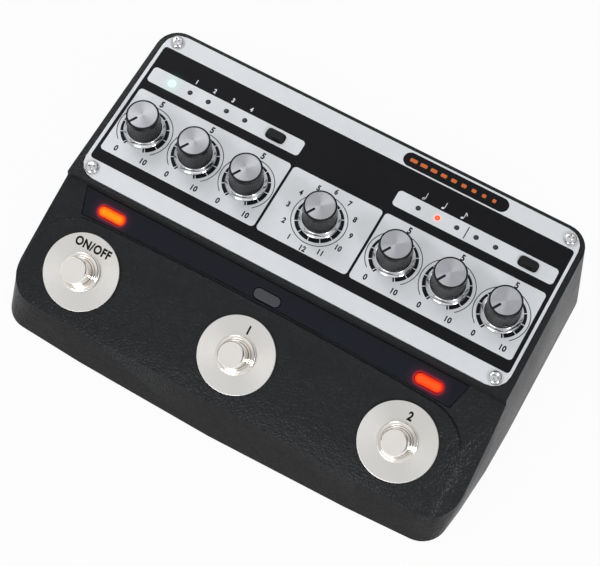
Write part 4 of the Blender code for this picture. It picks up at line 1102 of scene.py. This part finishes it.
def pill(length, width, x, y):
    """A pill-shaped outline."""
    return [(px + x, py + y) for px, py in rounded_rectangle(length, width, width / 2 - SEAM)]


def corners(x, front, rear):
    """Four places by name, mirrored left and right."""
    sides, rows = (("left", -x), ("right", x)), (("front", front), ("rear", rear))
    return {f"{side}_{row}": (px, py) for side, px in sides for row, py in rows}


def pillar_places():
    """Where the pillars for the base screws stand, in plan."""
    return corners(BASE_HALF - PILLAR_INSET, FRONT + PILLAR_FRONT_INSET, REAR - PILLAR_REAR_INSET)


def face_screw_places():
    """Where the faceplate's four screws go, in the panel's frame."""
    x = FACE_WIDTH / 2 - FACE_SCREW_SIDE_INSET
    y = FACE_DEPTH / 2 - FACE_SCREW_END_INSET
    return corners(x, -y, y)


def socket_places():
    """Places across the rear wall, spread from end to end: two small jacks, five large, the inlet."""
    spaces = [MINI_PITCH] * (MINI_COUNT - 1) + [MINI_CLEARANCE]
    spaces += [JACK_PITCH] * (JACK_COUNT - 1) + [INLET_CLEARANCE]
    reach = BASE_HALF - SOCKET_EDGE
    stretch = 2 * reach / sum(spaces)
    places = [-reach]
    for space in spaces:
        places.append(places[-1] + space * stretch)
    return places


def round_edges(piece):
    """Round the casting's upper edges: crisp on the platform and front, broad along the deck."""
    form = bmesh.new()
    form.from_mesh(piece.data)
    weights = form.edges.layers.float.new("bevel_weight_edge")
    steepest, flattest = math.cos(TOP_SLOPE), math.cos(WALL_SLOPE)
    step_world = STEP_Y + CENTRE_SHIFT
    for edge in form.edges:
        if len(edge.link_faces) != 2 or not edge.is_convex:
            continue
        lows = sorted(face.normal.z for face in edge.link_faces)
        if lows[0] > flattest or lows[1] < steepest or lows[0] < -steepest:
            continue
        run = (edge.verts[0].co - edge.verts[1].co).normalized()
        middle = (edge.verts[0].co + edge.verts[1].co) / 2
        if middle.y > step_world - SEAT_GAP:
            edge[weights] = RIM_ROUNDING / SHOULDER_ROUNDING
        elif middle.z > DECK_FRONT_Z - SHOULDER_ROUNDING:
            spare = SHOULDER_ROUNDING - FRONT_ROUNDING
            edge[weights] = (FRONT_ROUNDING + spare * abs(run.y)) / SHOULDER_ROUNDING
    form.to_mesh(piece.data)
    form.free()
    step = piece.modifiers.new("edges", "BEVEL")
    step.limit_method = "WEIGHT"
    step.width = SHOULDER_ROUNDING
    step.segments = ROUNDING_STEPS
    step.use_clamp_overlap = True
    return settle(piece)


def casting_space():
    """A cutter for the casting's inside, which leaves the pillars standing."""
    mesh = loft_mesh("casting_space", body_rings(BODY_LIFT - OVERRUN, WALL))
    trim_above(mesh, LEDGE_UNDERSIDE)
    space = place_cutter(mesh)
    boolean(space, deck_space("deck_underside", -DECK_UNDERSIDE, WALL))
    pillars = bmesh.new()
    for x, y in pillar_places().values():
        top = RIM_HEIGHT + OVERRUN
        drill(pillars, at(x, y), PILLAR_RADIUS, PLATE_TOP + SEAT_GAP, top, SMALL_SIDES)
    boolean(space, place_cutter(form_mesh("pillar_forms", pillars)))
    return settle(space)


def casting_recesses():
    """Cutters for the shallow seats of the faceplate and the light strip."""
    margin = SEAT_GAP
    face = rounded_rectangle(FACE_WIDTH + 2 * margin, FACE_DEPTH + 2 * margin, FACE_RADIUS + margin)
    floor = -PLATEAU_HEIGHT - STRIP_THICKNESS - SEAT_GAP
    roof = floor + STRIP_THICKNESS + OVERRUN
    return (
        flat_cutter("face_seat", [face], RECESS_FLOOR, OVERRUN, PANEL),
        flat_cutter("strip_seat", [strip_outline(SEAT_GAP)], floor, roof, DECK),
    )


def casting_holes():
    """One cutter for every hole in the casting."""
    form = bmesh.new()
    for x, y in face_screw_places().values():
        hole = SCREW_RADIUS + SEAT_GAP
        drill(form, PANEL @ at(x, y), hole, LEDGE_UNDERSIDE - OVERRUN, OVERRUN, DOT_SIDES)
    for name, x in SWITCHES:
        hole = BUSHING_RADIUS + SEAT_GAP
        drill(form, DECK @ at(x, SWITCH_ROW), hole, DECK_UNDERSIDE - OVERRUN, OVERRUN, ROUND_SIDES)
    for x, y in pillar_places().values():
        hole = SCREW_RADIUS + SEAT_GAP
        top = PLATE_TOP + SCREW_GRIP + SEAT_GAP
        drill(form, at(x, y), hole, PLATE_TOP - OVERRUN, top, DOT_SIDES)
    radii = [MINI_RADIUS] * MINI_COUNT + [JACK_BUSHING_RADIUS] * JACK_COUNT + [INLET_RADIUS]
    for x, radius in zip(socket_places(), radii):
        drill(form, REARWARD @ at(x, 0), radius + SEAT_GAP, -WALL - OVERRUN, OVERRUN, SMALL_SIDES)
    return place_cutter(form_mesh("casting_holes", form))


def build_housing():
    """The casting: platform, step, sloping deck and flared walls, open underneath."""
    mesh = loft_mesh("housing", body_rings(BODY_LIFT, 0))
    trim_above(mesh, RIM_TOP)
    housing = place_cutter(mesh)
    above_deck = deck_space("above_deck", PLATEAU_HEIGHT, 0)
    boolean(above_deck, plateau_form())
    boolean(housing, above_deck)
    round_edges(settle(housing))
    boolean(housing, casting_space())
    for seat in casting_recesses():
        boolean(housing, seat)
    window = rounded_rectangle(FACE_WIDTH - 2 * LEDGE_WIDTH, FACE_DEPTH - 2 * LEDGE_WIDTH, FACE_RADIUS)
    boolean(housing, flat_cutter("face_window", [window], LEDGE_UNDERSIDE - OVERRUN, OVERRUN, PANEL))
    length, width = WINDOW_LENGTH + 2 * SEAT_GAP, WINDOW_WIDTH + 2 * SEAT_GAP
    slots = [pill(length, width, x, -WINDOW_DOWN) for name, x in SWITCHES]
    low = DECK_UNDERSIDE - OVERRUN
    boolean(housing, flat_cutter("strip_windows", slots, low, OVERRUN, DECK))
    boolean(housing, casting_holes())
    mesh = smooth(evaluated_mesh(housing), 30)
    add_piece("casting", mesh, Matrix(), CRINKLE, "black_crinkle", "housing")
    clear_cutters()


def print_scales():
    """Outlines of the rings and bands round the dials."""
    black = []
    gap = math.degrees(GAP_HALF / BAND_OUTER)
    for name, x in zip(DIAL_NAMES, DIAL_X):
        if name == SELECTOR:
            for radius in (RING_RADIUS + RING_WIDTH, RING_RADIUS):
                black.append(circle(radius, 96, x, KNOB_ROW))
            edges = [(SCALE_STEP * k + gap, SCALE_STEP * (k + 1) - gap) for k in range(SELECTOR_COUNT)]
        else:
            ring = sector(RING_RADIUS, RING_RADIUS + RING_WIDTH, RING_START, RING_END, x, KNOB_ROW, 72)
            black.append(ring)
            starts = [SCALE_START + SCALE_STEP * k for k in range(SCALE_COUNT)]
            edges = [(start + gap, start + SCALE_STEP - gap) for start in starts]
            end = starts[-1] + SCALE_STEP
            edges.append((SCALE_START - SCALE_TAIL - gap, SCALE_START - gap))
            edges.append((end + gap, end + SCALE_TAIL + gap))
        black += [sector(BAND_INNER, BAND_OUTER, start, end, x, KNOB_ROW) for start, end in edges]
    return black


def print_notes():
    """Outlines of three note signs: half, quarter and eighth."""

    def head(x, half_width, half_height, slant):
        return [
            (x + half_width * px - NOTE_SHIFT, NOTE_LOW + half_height * py + slant * px)
            for px, py in circle(1, 32)
        ]

    notes = []
    for x in RIGHT_LIGHTS[:3]:
        notes.append(oblong(x + STEM_LEFT, x + STEM_RIGHT, NOTE_LOW, NOTE_HIGH, STEM_ROUNDING, 2))
        notes.append(head(x, *NOTE_HEAD))
    notes.append(head(RIGHT_LIGHTS[0], *NOTE_HOLE))
    notes.append([(RIGHT_LIGHTS[2] + FLAG_LEFT + x, y) for x, y in FLAG])
    return notes


def build_print():
    """The faceplate's black field with its bare silver boxes, the dial scales and plain numbers."""
    ends = ((-BOX_RIGHT, -BOX_LEFT), (BOX_LEFT, BOX_RIGHT))
    black = [oblong(FIELD_LEFT, FIELD_RIGHT, -FIELD_HALF_DEPTH, FIELD_HALF_DEPTH, FIELD_RADIUS)]
    for left, right in (ends[0], (-BOX_MIDDLE, BOX_MIDDLE), ends[1]):
        black.append(oblong(left, right, BOX_LOW, BOX_HIGH, BOX_RADIUS))
    for left, right in ends:
        black.append(oblong(left, right, ROW_LOW, ROW_HIGH, BOX_RADIUS))
    black += print_scales()
    black.append(oblong(*BADGE, 16))
    black.append(oblong(*DIVIDER, 2))

    dark, light = [], []
    for name, x in zip(DIAL_NAMES, DIAL_X):
        if name == SELECTOR:
            for k in range(SELECTOR_COUNT):
                angle = math.radians(SELECTOR_START - SCALE_STEP * k)
                across = x + SELECTOR_NUMBER_RADIUS * math.cos(angle)
                along = KNOB_ROW + SELECTOR_NUMBER_RADIUS * math.sin(angle)
                dark.append((str(k + 1), across, along, SELECTOR_NUMBER_HEIGHT))
            continue
        for text, across, along, height in SCALE_NUMBERS:
            dark.append((text, x + across, KNOB_ROW + along, height))
    for number, x in enumerate(LEFT_LIGHTS[1:], 1):
        light.append((str(number), x, LIGHT_NUMBER_ROW, LIGHT_NUMBER_HEIGHT))

    bars = []
    for k in range(BAR_COUNT):
        half = (BAR_LENGTH - BAR_SHRINK * k) / 2
        middle = BAR_START + BAR_PITCH * k
        bars.append(oblong(middle - half, middle + half, BAR_LOW, BAR_HIGH, BAR_ROUNDING, 4))

    prints = (
        ("black", flat_mesh("print_black", black, -INK, INK), INK_BLACK, "button_black"),
        ("numbers", words("print_numbers", dark, INK), INK_BLACK, "button_black"),
        ("numerals", words("print_numerals", light, 2 * INK), INK_SILVER, "face_silver"),
        ("notes", flat_mesh("print_notes", print_notes(), INK, 2 * INK), INK_SILVER, "face_silver"),
        ("bars", flat_mesh("print_bars", bars, INK, 2 * INK), INK_ORANGE, "window_amber"),
    )
    for name, mesh, surface, slot in prints:
        add_piece(f"print_{name}", mesh, PANEL, surface, slot)


def notched(radius, half_width, inner, steps=96):
    """A disc's outline with a slot from its edge inwards, the slot along -Y."""
    edge = math.asin(half_width / radius)
    start, end = -math.pi / 2 + edge, 1.5 * math.pi - edge
    turns = [start + (end - start) * k / steps for k in range(steps + 1)]
    line = [(radius * math.cos(turn), radius * math.sin(turn)) for turn in turns]
    centre = -inner - half_width
    turns = [math.pi - math.pi * k / 12 for k in range(13)]
    return line + [(half_width * math.cos(turn), centre + half_width * math.sin(turn)) for turn in turns]


def build_dials():
    """Fluted knobs with a polished skirt and a spun cap whose slot is the pointer."""
    band = (KNOB_FLUTES_LOW, KNOB_FLUTES_HIGH)
    body = turned("knob_body", KNOB_PROFILE, KNOB_SIDES, False, KNOB_FLUTES, KNOB_FLUTE_DEPTH, band)
    skirt = turned("knob_skirt", SKIRT_PROFILE, SKIRT_SIDES, closed=True, degrees=METAL_SHARP)
    cap = stacked("spun_cap", [(notched(*sizes), height) for *sizes, height in CAP_LEVELS], CAP_SHARP)
    slot = oblong(-POINTER_HALF, POINTER_HALF, -POINTER_OUTER, -POINTER_INNER, POINTER_ROUNDING)
    pointer = flat_mesh("pointer", [slot], KNOB_TOP - CAP_THICKNESS - POINTER_SINK, KNOB_TOP)
    for name, x in zip(DIAL_NAMES, DIAL_X):
        spot = PANEL @ at(x, KNOB_ROW) @ Matrix.Rotation(math.radians(DIAL_TURN), 4, "Z")
        dial = f"dial_{name}"
        add_piece(f"knob_body_{name}", body.copy(), spot, KNOB_BLACK, "knob_black", f"knob_{name}", body=dial)
        add_piece(f"knob_skirt_{name}", skirt.copy(), spot, CHROME, "chrome_screws", body=dial)
        add_piece(f"pointer_{name}", pointer.copy(), spot, KNOB_BLACK, "knob_black", body=dial)
        add_piece(f"spun_cap_{name}", cap.copy(), spot, SPUN, "cap_silver", f"knob_cap_{name}", body=dial)


def cross(reach, half_width):
    """An outline with four arms."""
    a, b = reach, half_width
    quarter = [(a, b), (b, b), (b, a)]
    half = quarter + [(-x, y) for x, y in reversed(quarter)]
    return half + [(-x, -y) for x, y in half]


def build_screws():
    """Domed screws with tapered cross recesses in the faceplate's corners."""
    head = place_cutter(turned("screw_head", SCREW_PROFILE, 64))
    levels = [(cross(reach, half), height) for reach, half, height in CROSS_LEVELS]
    boolean(head, place_cutter(stacked("screw_cross", levels)))
    mesh = smooth(evaluated_mesh(head))
    for number, (corner, (x, y)) in enumerate(face_screw_places().items()):
        turn = Matrix.Rotation(math.radians(SCREW_FIRST_TURN + SCREW_NEXT_TURN * number), 4, "Z")
        spot = PANEL @ at(x, y, SEAT_GAP) @ turn
        add_piece(f"screw_{corner}", mesh.copy(), spot, CHROME, "chrome_screws", f"panel_screw_{corner}")
    clear_cutters()


def build_lights():
    """The smoked strip with its three windows, and the small lamps with their dark bezels."""
    top = -PLATEAU_HEIGHT
    gap = 2 * SEAT_GAP
    windows = {"left": (AMBER, "amber"), "centre": (WINDOW_DARK, "dark"), "right": (RED, "red")}
    slots = [pill(WINDOW_LENGTH + gap, WINDOW_WIDTH + gap, x, -WINDOW_DOWN) for name, x in SWITCHES]
    mesh = flat_mesh("smoked_strip", [strip_outline(0)] + slots, top - STRIP_THICKNESS, top, STRIP_BEVEL)
    add_piece("smoked_strip", mesh, DECK, SMOKE, "smoked_acrylic", "light_strip")
    for name, x in SWITCHES:
        outline = pill(WINDOW_LENGTH, WINDOW_WIDTH, 0, 0)
        mesh = flat_mesh("lit_window", [outline], top - WINDOW_THICKNESS, top, WINDOW_BEVEL)
        surface, colour = windows[name]
        slot, spot = f"window_{colour}", DECK @ at(x, -WINDOW_DOWN)
        add_piece(f"lit_window_{name}", mesh, spot, surface, slot, f"light_window_{name}")
    lens = turned("lamp_lens", LENS_PROFILE, LAMP_SIDES)
    bezel = turned("lamp_bezel", BEZEL_PROFILE, LAMP_SIDES, closed=True)
    for side, row in (("left", LEFT_LIGHTS), ("right", RIGHT_LIGHTS)):
        for number, x in enumerate(row, 1):
            surface = {("left", 1): GREEN, ("right", 2): RED_DOT}.get((side, number), LENS_DARK)
            spot = PANEL @ at(x, LIGHT_ROW)
            add_piece(f"lamp_lens_{side}_{number}", lens.copy(), spot, surface, "window_dark")
            edge = BUTTON if surface == LENS_DARK else surface
            add_piece(f"lamp_bezel_{side}_{number}", bezel.copy(), spot, edge, "button_black")


def build_switch_insides():
    """The board under the deck with its three switch bodies and their threaded bushings."""
    x, y = BOARD_HALF
    plate = flat_mesh("switch_plate", [oblong(-x, x, -y, y, BOARD_RADIUS)], BOARD_LOW, BOARD_TOP, BOARD_BEVEL)
    spot = DECK @ at(0, SWITCH_ROW)
    add_piece("switch_plate", plate, spot, BOARD, "board_green", "switch_board")
    inner, outer = PLUNGER_RADIUS + RUN_GAP, BUSHING_RADIUS
    crown = BUSHING_TOP + BUSHING_CROWN
    tube_profile = [(inner, BUSHING_TOP), (inner + BUSHING_INNER_ROUNDING, crown)]
    tube_profile += [(outer - BUSHING_OUTER_ROUNDING, crown), (outer, BUSHING_TOP - THREAD_RISE)]
    for k in range(THREAD_COUNT):
        height = THREAD_START - THREAD_PITCH * k
        tube_profile += [(outer, height + THREAD_RISE), (outer - THREAD_DEPTH, height - THREAD_FALL)]
    tube_profile += [(outer, THREAD_END), (outer, BOARD_TOP), (inner, BOARD_TOP)]
    tube = turned("switch_bushing", tube_profile, 64, closed=True, degrees=METAL_SHARP)
    square = oblong(-SWITCH_HALF, SWITCH_HALF, -SWITCH_HALF, SWITCH_HALF, SWITCH_RADIUS)
    body = flat_mesh("switch_body", [square, circle(outer)], BOARD_TOP, SWITCH_TOP, SWITCH_BEVEL)
    for name, x in SWITCHES:
        spot = DECK @ at(x, SWITCH_ROW)
        add_piece(f"switch_body_{name}", body.copy(), spot, JACK_BLACK, "selector_body", "switch_board")
        add_piece(f"switch_bushing_{name}", tube.copy(), spot, NICKEL, "nickel", "switch_board")


def build_footswitches():
    """Washers, dress nuts and plungers with rolled edges."""
    washer = turned("switch_washer", WASHER_PROFILE, WASHER_SIDES, closed=True)
    nut = turned("switch_nut", NUT_PROFILE, closed=True, degrees=METAL_SHARP)
    plunger = turned("switch_plunger", PLUNGER_PROFILE)
    kinds = (
        ("washer", washer, WASHER, "washer_steel"),
        ("nut", nut, NICKEL, "nickel"),
        ("plunger", plunger, NICKEL, "nickel"),
    )
    for name, x in SWITCHES:
        spot = DECK @ at(x, SWITCH_ROW)
        for kind, mesh, surface, slot in kinds:
            body = f"pedal_{name}" if kind == "plunger" else "chassis"
            node = f"footswitch_{kind}_{name}"
            add_piece(f"switch_{kind}_{name}", mesh.copy(), spot, surface, slot, node, body=body)


def build_washer_marks():
    """Plain marks on the washers: ON/OFF on the first and numbers on the others."""
    for (name, x), text in zip(SWITCHES, ("ON/OFF", "1", "2")):
        mesh = words("washer_mark", [(text, 0, MARK_UP, MARK_HEIGHT)], WASHER_TOP + INK)
        spot = DECK @ at(x, SWITCH_ROW)
        add_piece(f"washer_mark_{name}", mesh, spot, INK_BLACK, "button_black")


def build_floor():
    """A pale floor that looks white and keeps the object's shadow."""
    mesh = bpy.data.meshes.new("floor")
    ends = ((-1, -1), (1, -1), (1, 1), (-1, 1))
    mesh.from_pydata([(x * FLOOR_REACH, y * FLOOR_REACH, 0) for x, y in ends], [], [(0, 1, 2, 3)])
    floor = show(bpy.data.objects.new("floor", mesh))
    nodes = Nodes("pale_floor")
    nodes.set(Roughness=0.9)
    tone = nodes.spread(nodes.noise(FLOOR_MOTTLE, 3.0), 0, 1)
    nodes.feed(Base_Color=nodes.blend(tone, *FLOOR_TONES))
    path = nodes.add("ShaderNodeLightPath")
    lift = nodes.add("ShaderNodeEmission")
    lift.inputs["Color"].default_value = (1, 1, 1, 1)
    lift.inputs["Strength"].default_value = 1.0
    mix = nodes.add("ShaderNodeMixShader")
    seen = nodes.math("MAXIMUM", path.outputs["Is Glossy Ray"], path.outputs["Is Transmission Ray"])
    seen = nodes.math("MAXIMUM", path.outputs["Is Camera Ray"], seen)
    nodes.link(nodes.math("MULTIPLY", seen, FLOOR_WHITE), mix.inputs["Fac"])
    nodes.link(nodes.shader.outputs["BSDF"], mix.inputs[1])
    nodes.link(lift.outputs["Emission"], mix.inputs[2])
    nodes.link(mix.outputs["Shader"], nodes.tree.nodes["Material Output"].inputs["Surface"])
    mesh.materials.append(nodes.material)


def build_studio():
    """White paper round the object and a soft sky above it, darker where the studio is."""
    world = bpy.data.worlds.new("studio")
    world.use_nodes = True
    bpy.context.scene.world = world
    graph = Graph(world.node_tree)
    place = graph.add("ShaderNodeTexCoord").outputs["Generated"]
    height = graph.toward(place, (0, 0, 1))
    level = graph.spread(height, SKY_DIM, SKY_LEVEL, *SKY_EDGE)
    for direction, share, start, end in SHADES:
        shadow = graph.spread(graph.toward(place, direction), 1.0, share, start, end)
        level = graph.math("MULTIPLY", level, shadow)
    paper = graph.add("ShaderNodeMix")
    paper.inputs["A"].default_value = 1.0
    graph.link(graph.spread(height, 0.0, 1.0, *PAPER_EDGE), paper.inputs["Factor"])
    graph.link(level, paper.inputs["B"])
    background = graph.tree.nodes["Background"]
    graph.link(paper.outputs["Result"], background.inputs["Strength"])
    background.inputs["Color"].default_value = (1, 1, 1, 1)


def build_stage():
    """The floor, the studio, three lamps and the camera at the photograph's place."""
    build_floor()
    build_studio()
    for name, spot, size, watts in LAMPS:
        light = bpy.data.lights.new(name, "AREA")
        light.shape = "RECTANGLE"
        light.size = size
        light.size_y = size
        light.energy = watts
        lamp = show(bpy.data.objects.new(name, light))
        lamp.location = spot
        lamp.rotation_euler = (-Vector(spot)).to_track_quat("-Z", "Y").to_euler()

    view = bpy.data.cameras.new("camera")
    view.lens = CAMERA_LENS
    view.clip_start = CAMERA_NEAR
    camera = show(bpy.data.objects.new("camera", view))
    camera.location = CAMERA_PLACE
    camera.rotation_euler = [math.radians(angle) for angle in CAMERA_TURN]
    bpy.context.scene.camera = camera
    bpy.context.scene.view_settings.view_transform = "Standard"


def main():
    dress_nodes()
    build_housing()
    build_print()
    build_dials()
    build_screws()
    build_lights()
    build_switch_insides()
    build_footswitches()
    build_washer_marks()
    build_stage()


main()
